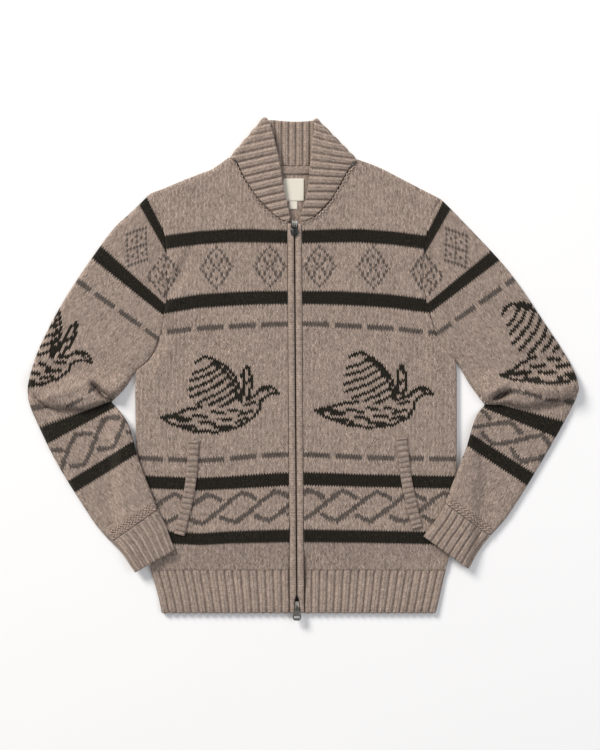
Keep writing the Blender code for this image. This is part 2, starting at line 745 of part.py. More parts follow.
def collar(mat):
    left = [flap_station(row) for row in FLAP_LEFT]
    right = [flap_station(row) for row in reversed(FLAP_RIGHT)]
    fold_left = fold_stations(FOLD_LEFT, inward_of(FOLD_LEFT))
    fold_right = list(reversed(fold_stations(FOLD_RIGHT, inward_of(FOLD_RIGHT))))
    back = [back_station(row) for row in COLLAR_BACK]
    stations = left + fold_left + back + fold_right + right

    # Rib count at each station, so that ribs are even along each stretch
    mids = [
        ((s[0][0] + s[2][0]) / 2, (s[0][1] + s[2][1]) / 2, s[1][2]) for s in stations
    ]
    run = lengths(mids)
    back_from = len(left) + 2
    back_to = len(stations) - len(right) - 3
    counts = []
    for k, r in enumerate(run):
        if k <= back_from:
            counts.append(RIBS_FLAP * r / run[back_from])
        elif k <= back_to:
            t = (r - run[back_from]) / (run[back_to] - run[back_from])
            counts.append(RIBS_FLAP + RIBS_COLLAR_BACK * t)
        else:
            t = (r - run[back_to]) / (run[-1] - run[back_to])
            counts.append(RIBS_FLAP * (1.0 + t) + RIBS_COLLAR_BACK)

    places = []
    for rib in range(2 * RIBS_FLAP + RIBS_COLLAR_BACK):
        places += [(rib + phase, crest) for phase, crest in RIB_PHASES]
    places.append((2 * RIBS_FLAP + RIBS_COLLAR_BACK, 0.0))
    flat = [s[0] + (s[1][2],) + s[2] for s in stations]
    rows, crests = [], []
    for count, crest in places:
        k = 0
        while k < len(counts) - 2 and counts[k + 1] < count:
            k += 1
        distance = lerp(run[k], run[k + 1], (count - counts[k]) / (counts[k + 1] - counts[k]))
        t = (distance - run[k]) / (run[k + 1] - run[k])
        row = smooth_between(flat, k, t)
        seam, mid_z, edge = row[:3], row[3], row[4:]
        line = []
        for c in range(COLLAR_ACROSS + 1):
            w = c / COLLAR_ACROSS
            bulge = mid_z - (seam[2] + edge[2]) / 2
            z = lerp(seam[2], edge[2], w) + bulge * 4 * w * (1 - w)
            line.append(Vector((lerp(seam[0], edge[0], w), lerp(seam[1], edge[1], w), z)))
        rows.append(line)
        crests.append((count, crest))
    outer, inner = [], []
    for r, line in enumerate(rows):
        before, after = rows[max(r - 1, 0)], rows[min(r + 1, len(rows) - 1)]
        top_row, low_row = [], []
        count, crest = crests[r]
        facing_up = 1.0
        if RIBS_FLAP < count < RIBS_FLAP + RIBS_COLLAR_BACK:
            facing_up = 0.0
        for c, p in enumerate(line):
            across = line[min(c + 1, COLLAR_ACROSS)] - line[max(c - 1, 0)]
            normal = (after[c] - before[c]).cross(across).normalized()
            rib = RIB * 0.9 * (crest - 0.4)
            half = COLLAR_CLOTH / 2
            top_row.append(tuple(p - normal * (half + rib * facing_up)))
            low_row.append(tuple(p + normal * (half + rib * (1.0 - facing_up))))
        outer.append(top_row)
        inner.append(low_row)
    return wall("collar", outer, inner, mat)


def smooth_between(rows, k, t):
    """A smooth value between rows k and k + 1."""
    before = rows[max(k - 1, 0)]
    after = rows[min(k + 2, len(rows) - 1)]
    place = []
    for w, x, y, z in zip(before, rows[k], rows[k + 1], after):
        slope_a, slope_b = (y - w) / 2, (z - x) / 2
        h = t * t * (3 - 2 * t)
        place.append(
            x * (1 - h) + y * h + slope_a * (t ** 3 - 2 * t * t + t) + slope_b * (t ** 3 - t * t)
        )
    return place


# Trim on the fronts

def welt(name, line, mat):
    """A ribbed strip over a pocket mouth, lying on its front."""
    run = lengths(line)[-1]
    outer, inner = [], []
    steps = WELT_RIBS_STEPS
    for k in range(steps + 1):
        phase, crest = RIB_PHASES[k % 3]
        s = min(run, run * (k // 3 + phase) / RIBS_WELT)
        x, y = along(line, s)
        ax, ay = along(line, max(0.0, s - 4.0))
        bx, by = along(line, min(run, s + 4.0))
        size = math.hypot(bx - ax, by - ay)
        nx, ny = (by - ay) / size, -(bx - ax) / size
        top_row, low_row = [], []
        for w, rim in ((-1.0, 0.3), (-0.75, 1.0), (0.75, 1.0), (1.0, 0.3)):
            px, py = x + nx * w * WELT_HALF, y + ny * w * WELT_HALF
            low = front_top(px, py) + SEAM_GAP
            top_row.append((px, py, low + WELT_CLOTH * rim + 0.6 * RIB * crest * rim))
            low_row.append((px, py, low))
        outer.append(top_row)
        inner.append(low_row)
    return wall(name, outer, inner, mat)


WELT_RIBS_STEPS = RIBS_WELT * 3


def slider_gap(y):
    """How far each facing stands back from the zip line, wider at the sliders."""
    gap = FACING_GAP
    for middle, half, width, axis in (TOP_SLIDER, BOTTOM_SLIDER):
        away = abs(y - middle) - half
        wide = width + 0.4
        gap = max(gap, lerp(wide, FACING_GAP, smooth((away - 0.6) / 9.0)))
    return gap


def facing(name, side, mat):
    """The narrow tubular band beside the zip, with rounded corners."""
    stops = [HEM_BOTTOM + 0.4, -378.0, -374.0, -361.5, -358.0, -354.5, -350.0, -314.0]
    stops += [-250.0, -180.0, -110.0, -40.0, 30.0, 100.0, 170.0, 205.0, 209.0, 213.0, 217.5, 224.0]
    sections = []
    for y in stops:
        end = 0.6 if y == stops[0] or y == stops[-1] else 0.0
        near = zip_x(y) + side * slider_gap(y)
        far = zip_x(y) + side * FACING_OUT
        low, high = FRONT_UNDER + end, FACING_TOP - end
        corner = 1.4
        step = corner if far > near else -corner
        middle = (low + high) / 2
        sections.append([
            (near, y, middle), (near + step, y, low), (far - step, y, low), (far, y, middle),
            (far, y, high - corner), (far - step, y, high), (near + step, y, high),
            (near, y, high - corner),
        ])
    return bar(name, sections, mat)


def zip_tape(mat):
    """The zip's tape under both facings, with the closed chain along its middle."""
    sections = []
    for y in (HEM_BOTTOM + 1.0, -190.0, 0.0, 120.0, ZIP_TOP - 3.0):
        x = zip_x(y)
        sections.append([
            (x - TAPE_HALF, y, ZIP_TAPE_LOW), (x + TAPE_HALF, y, ZIP_TAPE_LOW),
            (x + TAPE_HALF, y, ZIP_TAPE_HIGH), (x + CHAIN_HALF, y, ZIP_TAPE_HIGH),
            (x + CHAIN_HALF, y, CHAIN_TOP), (x - CHAIN_HALF, y, CHAIN_TOP),
            (x - CHAIN_HALF, y, ZIP_TAPE_HIGH), (x - TAPE_HALF, y, ZIP_TAPE_HIGH),
        ])
    return bar("zip_tape", sections, mat)


# Sliders and pulls

def block(x0, x1, y0, y1, z0, z1):
    points = [(x, y, z) for x in (x0, x1) for y in (y0, y1) for z in (z0, z1)]
    faces = [(0, 1, 3, 2), (4, 6, 7, 5), (0, 4, 5, 1), (2, 3, 7, 6), (0, 2, 6, 4), (1, 5, 7, 3)]
    return points, faces


def outline_solid(name, outline, low, high, mat, holes=()):
    """A flat solid cut from a plan outline; z runs from low to high."""
    curve = bpy.data.curves.new(name, "CURVE")
    curve.dimensions = "2D"
    curve.fill_mode = "BOTH"
    curve.extrude = (high - low) / 2 * MM
    for loop in (outline, *holes):
        spline = curve.splines.new("POLY")
        spline.points.add(len(loop) - 1)
        for point, (x, y) in zip(spline.points, loop):
            point.co = (x * MM, y * MM, 0.0, 1.0)
        spline.use_cyclic_u = True
    flat = bpy.data.objects.new(name, curve)
    bpy.context.scene.collection.objects.link(flat)
    bpy.context.view_layer.update()
    source = flat.evaluated_get(bpy.context.evaluated_depsgraph_get())
    mesh = bpy.data.meshes.new_from_object(source)
    bpy.data.objects.remove(flat)
    bpy.data.curves.remove(curve)
    clean = bmesh.new()
    clean.from_mesh(mesh)
    bmesh.ops.remove_doubles(clean, verts=clean.verts, dist=0.00001)
    bmesh.ops.translate(clean, verts=clean.verts, vec=(0.0, 0.0, (low + high) / 2 * MM))
    bmesh.ops.recalc_face_normals(clean, faces=clean.faces)
    clean.to_mesh(mesh)
    clean.free()
    mesh.name = name
    mesh.materials.clear()
    mesh.materials.append(mat)
    obj = bpy.data.objects.new(name, mesh)
    bpy.context.scene.collection.objects.link(obj)
    return obj


def slider(name, place, mat):
    """A slider's body with the bridge that its pull hangs on, as one side profile."""
    middle, half, width, axis = place
    x = zip_x(middle)
    body_points, body_faces = block(
        x - width, x + width, middle - half, middle + half, SLIDER_LOW, SLIDER_TOP_Z)
    body = add_object(name, body_points, body_faces, mat)
    top, hole = AXIS_Z + BRIDGE_TOP, AXIS_Z + BRIDGE_HOLE_TOP
    foot = SLIDER_TOP_Z - 0.5
    profile = [
        (-BRIDGE_FOOT_OUT, foot), (-BRIDGE_FOOT_IN, foot), (-BRIDGE_FOOT_IN, hole - 0.5),
        (-BRIDGE_FOOT_IN + 0.6, hole), (BRIDGE_FOOT_IN - 0.6, hole), (BRIDGE_FOOT_IN, hole - 0.5),
        (BRIDGE_FOOT_IN, foot), (BRIDGE_FOOT_OUT, foot), (BRIDGE_FOOT_OUT, top - 1.2),
        (BRIDGE_FOOT_OUT - 1.2, top), (-BRIDGE_FOOT_OUT + 1.2, top), (-BRIDGE_FOOT_OUT, top - 1.2),
    ]
    sections = [
        [(x + end * BRIDGE_HALF, axis + y, z) for y, z in profile] for end in (-1.0, 1.0)
    ]
    bridge = bar(name + "_bridge", sections, mat)
    join = body.modifiers.new("bridge", "BOOLEAN")
    join.operation = "UNION"
    join.solver = "EXACT"
    join.object = bridge
    bridge.hide_render = True
    bridge.display_type = "WIRE"
    return body


def pull(name, place, outline, slot, thick, mat):
    """A pull tab: a pin under the bridge, two legs, and a flat grip of the given outline.

    The outline and slot are plan points measured from the pin.
    """
    middle, half, width, axis = place
    x = zip_x(middle)
    inner = [(-LEG_IN, -PIN_HALF), (LEG_IN, -PIN_HALF), (LEG_IN, -LEG_REACH), (-LEG_IN, -LEG_REACH)]
    holes = [[(x + px, axis + py) for px, py in inner]]
    if slot:
        holes.append([(x + px, axis + py) for px, py in slot])
    ring = [(x + px, axis + py) for px, py in outline]
    half_thick = thick / 2
    obj = outline_solid(name, ring, AXIS_Z - half_thick, AXIS_Z + half_thick, mat, holes)
    pivot = Vector((x * MM, axis * MM, AXIS_Z * MM))
    obj.data.transform(Matrix.Translation(-pivot))
    obj.location = pivot
    return obj


def arc(cx, cy, rx, ry, start, end, steps):
    return [
        (cx + rx * math.cos(math.radians(lerp(start, end, k / steps))),
         cy + ry * math.sin(math.radians(lerp(start, end, k / steps))))
        for k in range(steps + 1)
    ]


def main():
    for obj in list(bpy.data.objects):
        bpy.data.objects.remove(obj)
    cloth = material("wool_knit", CLOTH_COLOUR, 0.95)
    metal = material("gunmetal", METAL_COLOUR, 0.35, 1.0)
    black = material("black_pull", BLACK_COLOUR, 0.5)
    cream = material("woven_label", LABEL_COLOUR, 0.8)
    zip_black = material("zip_tape", ZIP_COLOUR, 0.7)

    back_panel(cloth)
    front_panel("front_left", -1, ARMHOLE_LEFT, NECKLINE_LEFT, cloth)
    front_panel("front_right", 1, ARMHOLE_RIGHT, NECKLINE_RIGHT, cloth)
    sleeve("sleeve_left", -1, ARMHOLE_LEFT, UPPER_IN_LEFT, UPPER_OUT_LEFT, ELBOW_LEFT,
           FORE_IN_LEFT, FORE_OUT_LEFT, cloth)
    sleeve("sleeve_right", 1, ARMHOLE_RIGHT, UPPER_IN_RIGHT, UPPER_OUT_RIGHT, ELBOW_RIGHT,
           FORE_IN_RIGHT, FORE_OUT_RIGHT, cloth)
    cuff("cuff_left", -1, CUFF_IN_LEFT, CUFF_OUT_LEFT, cloth)
    cuff("cuff_right", 1, CUFF_IN_RIGHT, CUFF_OUT_RIGHT, cloth)

    inner_x = FACING_OUT + SEAM_GAP
    hem_band("hem_back", lambda y: side_at(y, -1), lambda y: side_at(y, 1), 0, cloth)
    hem_band("hem_front_left", lambda y: side_at(y, -1), lambda y: zip_x(y) - inner_x,
             RIBS_HEM_LEFT, cloth)
    hem_band("hem_front_right", lambda y: zip_x(y) + inner_x, lambda y: side_at(y, 1),
             RIBS_HEM_RIGHT, cloth)
    collar(cloth)
    welt("welt_left", WELT_LEFT, cloth)
    welt("welt_right", WELT_RIGHT, cloth)
    facing("placket_left", -1, cloth)
    facing("placket_right", 1, cloth)
    zip_tape(zip_black)

    lift = BACK_TOP + SEAM_GAP
    neck_tape(lift, cloth)
    x0, y0, x1, y1 = LABEL
    points, faces = block(x0, x1, y0, y1, lift, lift + LABEL_THICK)
    add_object("neck_label", points, faces, cream)
    x0, y0, x1, y1 = TAB
    points, faces = block(x0, x1, y0, y1, lift, lift + 0.8 * LABEL_THICK)
    add_object("size_tab", points, faces, cream)

    slider("slider_top", TOP_SLIDER, metal)
    slider("slider_bottom", BOTTOM_SLIDER, black)
    pull("pull_top", TOP_SLIDER, top_pull_outline(), None, PULL_THICK, black)
    ring_slot = arc(0.0, -15.0, 4.6, 1.9, 0.0, 330.0, 11)
    pull("pull_bottom", BOTTOM_SLIDER, ring_outline(), ring_slot, PULL_THICK, metal)


def top_pull_outline():
    """A drop shape: narrow at the pin, full and round at its free end."""
    neck = [(-LEG_OUT, PIN_HALF), (-LEG_OUT, -LEG_REACH)]
    bulb = arc(0.0, -12.4, 5.6, 6.2, 135.0, 405.0, 14)
    return neck + bulb + [(LEG_OUT, -LEG_REACH), (LEG_OUT, PIN_HALF)]


def ring_outline():
    """Legs at the pin, then a wide flat ring with round ends."""
    left = arc(-2.6, -14.0, 4.4, 6.4, 110.0, 270.0, 8)
    right = arc(2.6, -14.0, 4.4, 6.4, 270.0, 430.0, 8)
    return [(-LEG_OUT, PIN_HALF), (-LEG_OUT, -LEG_REACH)] + left + right + [
        (LEG_OUT, -LEG_REACH), (LEG_OUT, PIN_HALF)]


def neck_tape(lift, mat):
    """A narrow band along the inside of the back neck seam."""
    outer, inner = [], []
    for side_y in (-1.5 - TAPE_WIDTH, -1.5):
        row = []
        for k in range(13):
            x = lerp(-TAPE_REACH, TAPE_REACH, k / 12)
            row.append((x, table_value(TOP_LINE, x, 0, 1) + side_y))
        outer.append([(x, y, lift + TAPE_THICK) for x, y in row])
        inner.append([(x, y, lift) for x, y in row])
    return wall("neck_binding", outer, inner, mat)


main()
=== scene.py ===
"""Looks for the zip-up knitted sweater: knit sheets stitch by stitch, ribs, zip and stage.

Tables and cloth heights are in millimetres, as the garment was drafted; meshes are in metres.
"""
import math
from contextlib import contextmanager

import bmesh
import bpy
import numpy as np
from mathutils import Matrix, Vector


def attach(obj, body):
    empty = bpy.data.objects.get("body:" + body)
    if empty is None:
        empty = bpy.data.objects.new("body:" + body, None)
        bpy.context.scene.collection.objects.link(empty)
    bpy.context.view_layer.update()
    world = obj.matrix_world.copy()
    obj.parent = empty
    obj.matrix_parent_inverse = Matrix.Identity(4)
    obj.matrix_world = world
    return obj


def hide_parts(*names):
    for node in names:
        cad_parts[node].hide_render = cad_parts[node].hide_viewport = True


bl_info = {
    "name": "Knitted zip sweater, laid flat",
    "version": (1, 0, 0),
    "blender": (4, 5, 0),
    "location": "View3D > Sidebar > Knitwear",
    "description": "Builds the cloth, ribs, zip and stage of a flat-laid knitted sweater",
    "category": "Add Mesh",
}

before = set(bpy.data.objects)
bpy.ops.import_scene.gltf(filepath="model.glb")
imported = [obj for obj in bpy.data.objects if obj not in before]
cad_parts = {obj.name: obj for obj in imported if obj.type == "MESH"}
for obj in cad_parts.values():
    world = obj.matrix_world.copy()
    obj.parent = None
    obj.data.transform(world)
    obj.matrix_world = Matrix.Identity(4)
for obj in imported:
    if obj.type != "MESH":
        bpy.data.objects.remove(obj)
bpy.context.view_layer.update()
MM = 0.001
# Cloth heights above the surface
CLOTH = 3.0
SEAM_GAP = 0.3
BACK_TOP = CLOTH
FRONT_UNDER = 6.7
FRONT_TOP = FRONT_UNDER + CLOTH
EDGE_ROLL = 10.0
FRONT_EDGE_DROP = 1.9
BACK_EDGE_CURL = 1.5
OVER_BODY = 10.3
RAMP_FAR = 46.0
RAMP_NEAR = 22.0

# Body: Y of the seams
HEM_BOTTOM = -380.0
HEM_TOP = -314.0
ZIP_TOP = 226.0

# Zip line, which leans a little, and the facings beside it
ZIP_X_TOP = -2.3
ZIP_X_BOTTOM = 1.6
FACING_OUT = 11.2
FACING_GAP = 0.8
FACING_TOP = 11.9

# One row for each place up the side seam: Y, X of the left side, X of the right side
SIDE = [
    (-380, -208.5, 217), (-360, -212.5, 222), (-336, -219, 227.5), (-314, -225.5, 232.5),
    (-279, -234.5, 240.5), (-238.5, -239.5, 244), (-198.5, -242.5, 247), (-158, -245.5, 249),
    (-118, -247.5, 249.5), (-80.5, -249, 249.5), (-43.5, -249.5, 249.5), (-8, -249, 249.5),
    (12.5, -240, 248),
]

# Armhole seams from armpit to shoulder tip: X, Y
ARMHOLE_LEFT = [
    (-248, -3), (-232.5, 10), (-221.5, 25), (-214.5, 42), (-208.5, 61), (-204.5, 83.5),
    (-201, 112), (-199.7, 142), (-200, 173.5), (-203, 202), (-211, 229.5), (-219, 251),
    (-226.5, 270.5),
]
ARMHOLE_RIGHT = [
    (248, 12.5), (236, 24), (226.5, 36), (218.5, 50), (212.5, 68), (207, 86),
    (202, 110), (198.8, 138), (198, 164.5), (200, 190), (205, 218), (213.5, 243),
    (225, 262),
]

# Shoulder lines and back neck seam from left tip to right tip: X, Y
TOP_LINE = [
    (-226.5, 270.5), (-211, 276), (-173.5, 291.5), (-130, 308), (-112, 320.5), (-105, 326),
    (-99, 326.5), (-93, 318.8), (-82, 317), (-62, 314), (-40.5, 312.5), (0, 311),
    (40.5, 312.5), (65, 314), (80, 316), (91.5, 314.5), (95.5, 323.5), (103, 321),
    (116, 316.5), (135, 308.5), (167.5, 291.5), (197, 276), (225, 262),
]
NECK_LEFT_X = -93.0
NECK_RIGHT_X = 91.5

# Front neckline seams from the zip to the shoulder: X, Y
NECKLINE_LEFT = [
    (-13.8, 226), (-24.5, 229.5), (-36.5, 238.5), (-48.5, 248.5), (-60, 262.5), (-71.5, 279),
    (-81.5, 295), (-88.5, 309), (-93, 318.8),
]
NECKLINE_RIGHT = [
    (9.2, 226), (20.5, 229), (33, 237), (45, 248), (56, 261.5), (66, 278),
    (74.5, 292.5), (82, 306), (91.5, 314.5),
]

# Sleeve edges, upper arm: inner edge from the armpit, outer edge from the shoulder tip
UPPER_IN_LEFT = [(-248.4, -3.4), (-256, -17), (-268, -34), (-278, -44), (-286, -52)]
UPPER_OUT_LEFT = [
    (-226.9, 270.7), (-252.5, 245), (-285, 214), (-330, 152), (-369, 90), (-400, 28),
    (-413, -10), (-416.5, -28),
]
UPPER_IN_RIGHT = [(248.4, 12.2), (256, -1), (268, -22), (282, -42), (293, -56.5)]
UPPER_OUT_RIGHT = [
    (225.4, 262.2), (257.5, 229.5), (316, 167.5), (350, 124), (383, 74.5), (412, 31),
    (433, -6), (439, -28),
]

# Lower edge of the roll of cloth at the elbow, from the inner elbow outwards
ELBOW_LEFT = [
    (-286, -52), (-304, -56), (-327, -65.5), (-350, -64.5), (-377, -63), (-397, -54),
    (-408, -42), (-416.5, -28),
]
ELBOW_RIGHT = [
    (293, -56.5), (312, -57), (330, -56), (345, -62), (378, -58.5), (409, -51.5),
    (430, -44), (439, -28),
]

# Forearm edges from the elbow to the cuff seam, then the cuff to its open end
FORE_IN_LEFT = [
    (-286, -54.5), (-278, -62), (-265, -77.5), (-256, -96), (-248, -127),
    (-237, -159.5), (-226.5, -186), (-214, -219),
]
FORE_OUT_LEFT = [
    (-417, -32), (-414, -56), (-397, -96), (-369, -152), (-328.5, -217),
    (-308.5, -246.5), (-287, -270.5),
]
FORE_IN_RIGHT = [
    (293, -59), (284, -68), (277, -80), (271, -98.5), (265, -119.5), (252, -154),
    (237, -192), (231, -209.5),
]
FORE_OUT_RIGHT = [
    (439.5, -32), (433, -52), (406, -103), (371, -163), (333.5, -223), (314.5, -247),
    (301.5, -261),
]
CUFF_IN_LEFT = [(-213.8, -219.5), (-201.5, -243.5), (-194, -263.5), (-187, -281.5)]
CUFF_OUT_LEFT = [(-286.6, -271), (-270, -287.5), (-259.5, -302), (-249, -316.5)]
CUFF_IN_RIGHT = [(230.8, -210), (221.5, -227.5), (209, -244), (197, -260.5)]
CUFF_OUT_RIGHT = [(301.1, -261.5), (290, -275), (279, -292), (268, -311.5)]

# Soft folds: X and Y at each end, half width, height (minus is a trough)
FRONT_FOLDS = [
    (-192, 37, -214, -42, 13, 1.7), (-168, 52, -190, -20, 14, -1.3),
    (-226, 8, -240, -34, 9, -1.2), (-150, -40, -170, -170, 20, 0.7),
    (205, 52, 222, -30, 13, 1.5), (178, 60, 196, -24, 14, -1.1),
    (232, 8, 240, -40, 8, -1.1), (120, -30, 136, -160, 20, 0.6),
]
SLEEVE_FOLDS = [
    (-216, 40, -259, 15, 9, 1.8), (-232, 62, -300, 50, 12, -1.2),
    (-296, -6, -372, 14, 14, 1.6), (-300, -34, -322, -26, 9, -3.2),
    (-330, -92, -382, -84, 12, 1.4), (-290, -100, -262, -132, 10, -1.4),
    (239, 74, 277, 2, 11, -1.9), (222, 62, 256, 0, 9, 1.4),
    (318, -8, 396, 12, 14, 1.6), (318, -40, 338, -30, 9, -3),
    (352, -92, 400, -80, 12, 1.3), (300, -100, 276, -136, 10, -1.3),
]
ELBOW_ROLL = 5.6

# Ribs: how many each band has
RIBS_HEM_LEFT = 17
RIBS_HEM_RIGHT = 18
RIBS_HEM_BACK = 36
RIBS_CUFF = 7
RIBS_FLAP = 12
RIBS_COLLAR_BACK = 14
RIBS_WELT = 18

# Collar stations from the zip to the fold at the shoulder:
# seam X, seam Y, free edge X, free edge Y, height of the cloth's middle at seam, middle and edge
FLAP_LEFT = [
    (-12.4, 227.6, -9, 232, 8.3, 8.8, 9.2), (-23.2, 231.2, -10.5, 240, 8.3, 9.6, 9.8),
    (-35.5, 240.4, -12.5, 251, 8.3, 10.4, 10.4), (-59, 264.4, -18, 273.5, 8.3, 11.6, 11.2),
    (-70.4, 280.8, -20.5, 289, 8.3, 12, 11.4), (-80.3, 296.4, -23, 306, 8.6, 12.2, 11.6),
    (-87, 310.2, -27, 327, 9.4, 12.2, 11.8), (-91.5, 320.5, -37, 369, 11.2, 12.2, 12),
]
FLAP_RIGHT = [
    (8.8, 227.6, 6.2, 232, 8.3, 8.8, 9.2), (19.6, 231, 8, 240, 8.3, 9.6, 9.8),
    (32, 239, 11, 250, 8.3, 10.4, 10.4), (55, 263.5, 18, 275, 8.3, 11.6, 11.2),
    (64.8, 279.8, 20, 291.5, 8.3, 12, 11.4), (73.2, 294, 21.5, 308.5, 8.6, 12.2, 11.6),
    (80.6, 307.4, 23, 328.5, 9.4, 12.2, 11.8), (88, 317.4, 27.5, 369, 11.2, 12.2, 12),
]
# Fold of the collar, on the outline: X and Y at the seam and at the free edge
FOLD_LEFT = (-101.5, 326.3, -48.0, 389.0)
FOLD_RIGHT = (94.5, 321.7, 31.0, 386.8)
# Back of the collar: seam X, seam Y, free edge X, free edge Y
COLLAR_BACK = [
    (-84, 322, -37, 385.5), (-62, 318.5, -29, 384.8), (-40.5, 315.5, -20, 384),
    (0, 313.5, -3, 383), (40.5, 315.5, 12, 383.4), (60.5, 318.5, 20, 384),
    (79, 320.5, 26, 384.6),
]
FLAP_MID_Z = 12.2
COLLAR_CLOTH = 3.2
COLLAR_BACK_Z = COLLAR_CLOTH / 2

# Pocket welts: centre line X and Y from top to bottom, and half width
WELT_LEFT = [(-158.5, -112), (-160.5, -152), (-164.5, -186), (-172, -223), (-181, -258.5)]
WELT_RIGHT = [(163.5, -107), (167.5, -142.5), (172, -178), (180, -214), (188, -248)]
WELT_HALF = 8.5
WELT_CLOTH = 2.6

# Neck tape, label and size tab, on the inside of the back
TAPE_REACH = 78.0
LABEL = (-20.4, 259.5, 12.6, 294.5)
TAB = (-10.6, 247.0, 2.0, 259.2)
LABEL_THICK = 1.0

# Zip and sliders
TAPE_HALF = 10.8
ZIP_TAPE_LOW = 4.4
ZIP_TAPE_HIGH = 5.4
CHAIN_HALF = 2.6
CHAIN_TOP = 6.4
SLIDER_LOW = CHAIN_TOP + SEAM_GAP
SLIDER_TOP_Z = 12.3
# centre Y, half length, half width of each slider, and Y of its pull's axis
TOP_SLIDER = (223.6, 5.2, 4.2, 223.6)
BOTTOM_SLIDER = (-368.5, 6.8, 3.1, -370.6)
AXIS_Z = 13.9
BRIDGE_HALF = 1.2
BRIDGE_FOOT_IN = 2.3
BRIDGE_FOOT_OUT = 3.5
BRIDGE_HOLE_TOP = 1.7
BRIDGE_TOP = 2.7
LEG_IN = 1.6
LEG_OUT = 2.9
LEG_REACH = 5.2
PIN_HALF = 0.75
PULL_THICK = 2.0


# Curves and small maths

def lerp(a, b, t):
    return a + (b - a) * t


def smooth(t):
    """0 to 1 with soft ends."""
    t = min(1.0, max(0.0, t))
    return t * t * (3.0 - 2.0 * t)


def quarter(t):
    """Height of a quarter circle: 0 at the edge, 1 once t reaches 1."""
    t = min(1.0, max(0.0, t))
    return math.sqrt(1.0 - (1.0 - t) ** 2)


def lengths(points):
    """Running length at each point."""
    total = [0.0]
    for a, b in zip(points, points[1:]):
        total.append(total[-1] + math.dist(a, b))
    return total


def along(points, distance, total=None):
    """The place at a distance along a smooth curve through the points."""
    total = total or lengths(points)
    distance = min(total[-1], max(0.0, distance))
    k = 0
    while k < len(points) - 2 and total[k + 1] < distance:
        k += 1
    t = (distance - total[k]) / (total[k + 1] - total[k])
    before, after = points[max(k - 1, 0)], points[min(k + 2, len(points) - 1)]
    place = []
    for w, x, y, z in zip(before, points[k], points[k + 1], after):
        bend = t * (y - w + t * (2 * w - 5 * x + 4 * y - z + t * (3 * (x - y) + z - w)))
        place.append(x + 0.5 * bend)
    return tuple(place)


def evenly(points, steps):
    """Points at even steps along a smooth curve through the given ones."""
    whole = lengths(points)[-1]
    return [along(points, whole * (k / steps)) for k in range(steps + 1)]


# Meshes, objects and nodes

@contextmanager
def edited(mesh):
    """A mesh opened for editing; the changes are written back to it."""
    shape = bmesh.new()
    shape.from_mesh(mesh)
    yield shape
    shape.to_mesh(mesh)
    shape.free()


def shown(name, data):
    """A new object in the scene for a mesh, a curve, a lamp or a camera."""
    obj = bpy.data.objects.new(name, data)
    bpy.context.scene.collection.objects.link(obj)
    return obj


def recalculate(obj):
    """Turns a closed shell's faces outwards."""
    with edited(obj.data) as shape:
        bmesh.ops.recalc_face_normals(shape, faces=shape.faces)


def put(tree, kind, links=(), **settings):
    """Adds a node with its settings, then its inputs as (socket, value or output) pairs."""
    node = tree.nodes.new(kind)
    for key, value in settings.items():
        setattr(node, key, value)
    for socket, value in links:
        if isinstance(value, bpy.types.NodeSocket):
            tree.links.new(value, node.inputs[socket])
        else:
            node.inputs[socket].default_value = value
    return node


def maths(tree, operation, *values):
    return put(tree, "ShaderNodeMath", enumerate(values), operation=operation).outputs[0]


def ranged(tree, value, low, high, to_low, to_high):
    """A value moved from one range to another, and kept inside it."""
    return put(tree, "ShaderNodeMapRange", [
        ("Value", value), ("From Min", low), ("From Max", high), ("To Min", to_low),
        ("To Max", to_high)]).outputs[0]


def noise(tree, where, scale, detail, *more):
    links = [("Vector", where), ("Scale", scale), ("Detail", detail), *more]
    return put(tree, "ShaderNodeTexNoise", links).outputs[0]


def scaled(tree, colour, amount):
    """A colour times a number."""
    return put(tree, "ShaderNodeVectorMath", [(0, colour), ("Scale", amount)],
               operation="SCALE").outputs[0]


def bumped(tree, shader, height, strength, distance):
    bump = put(tree, "ShaderNodeBump", [("Height", height), ("Strength", strength),
                                        ("Distance", distance)])
    tree.links.new(bump.outputs[0], shader.inputs["Normal"])


# Heights of the cloth, worked out for whole arrays of plan points at once

def segment_distance(x, y, ax, ay, bx, by):
    """Distance from each point to a segment, and how far along it the nearest place is."""
    dx, dy = bx - ax, by - ay
    t = np.clip(((x - ax) * dx + (y - ay) * dy) / (dx * dx + dy * dy), 0.0, 1.0)
    return np.hypot(x - ax - t * dx, y - ay - t * dy), t


def line_distance(x, y, points):
    """Distance from each point to the nearest place on a line through some points."""
    nearest = np.full(np.shape(x), 1e9)
    for a, b in zip(points, points[1:]):
        nearest = np.minimum(nearest, segment_distance(x, y, *a, *b)[0])
    return nearest


def quarter_of(t):
    """quarter for a whole array."""
    return np.sqrt(1.0 - (1.0 - np.clip(t, 0.0, 1.0)) ** 2)


def smooth_of(t):
    """smooth for a whole array."""
    t = np.clip(t, 0.0, 1.0)
    return t * t * (3.0 - 2.0 * t)


# Finer creases than the solids carry: X and Y at each end, half width, height
CREASES = [
    (-321, -24, -384, -45, 7, 6), (-300, -40, -285, -51, 5, -12),
    (-320, -34, -392, -52, 15, 2.4),
    (-302, -20, -279, -42, 6, 4.4), (-326, 2, -400, -10, 14, -3.6),
    (-296, -22, -276, -2, 8, -1.8), (-262, 60, -330, 22, 16, 1.3),
    (334, -32, 432, -34, 11, 6.6), (306, -48, 331, -38, 5, -14),
    (298, -42, 328, -20, 6, 4.6), (340, 2, 418, -2, 14, -3.6),
    (282, -20, 300, -4, 8, -1.8), (262, 64, 330, 30, 16, 1.3),
    (206, 196, 224, 148, 7, -1.8), (-210, 190, -226, 140, 8, -1.6),
]
FORE_CREASES = [
    (-262, -110, -350, -100, 9, 1.3), (-256, -86, -296, -84, 6, -2),
    (276, -100, 356, -96, 9, 1.3), (276, -80, 306, -80, 6, -2),
    (-240, -190, -330, -170, 13, 0.9), (252, -176, 340, -170, 13, 0.9),
]
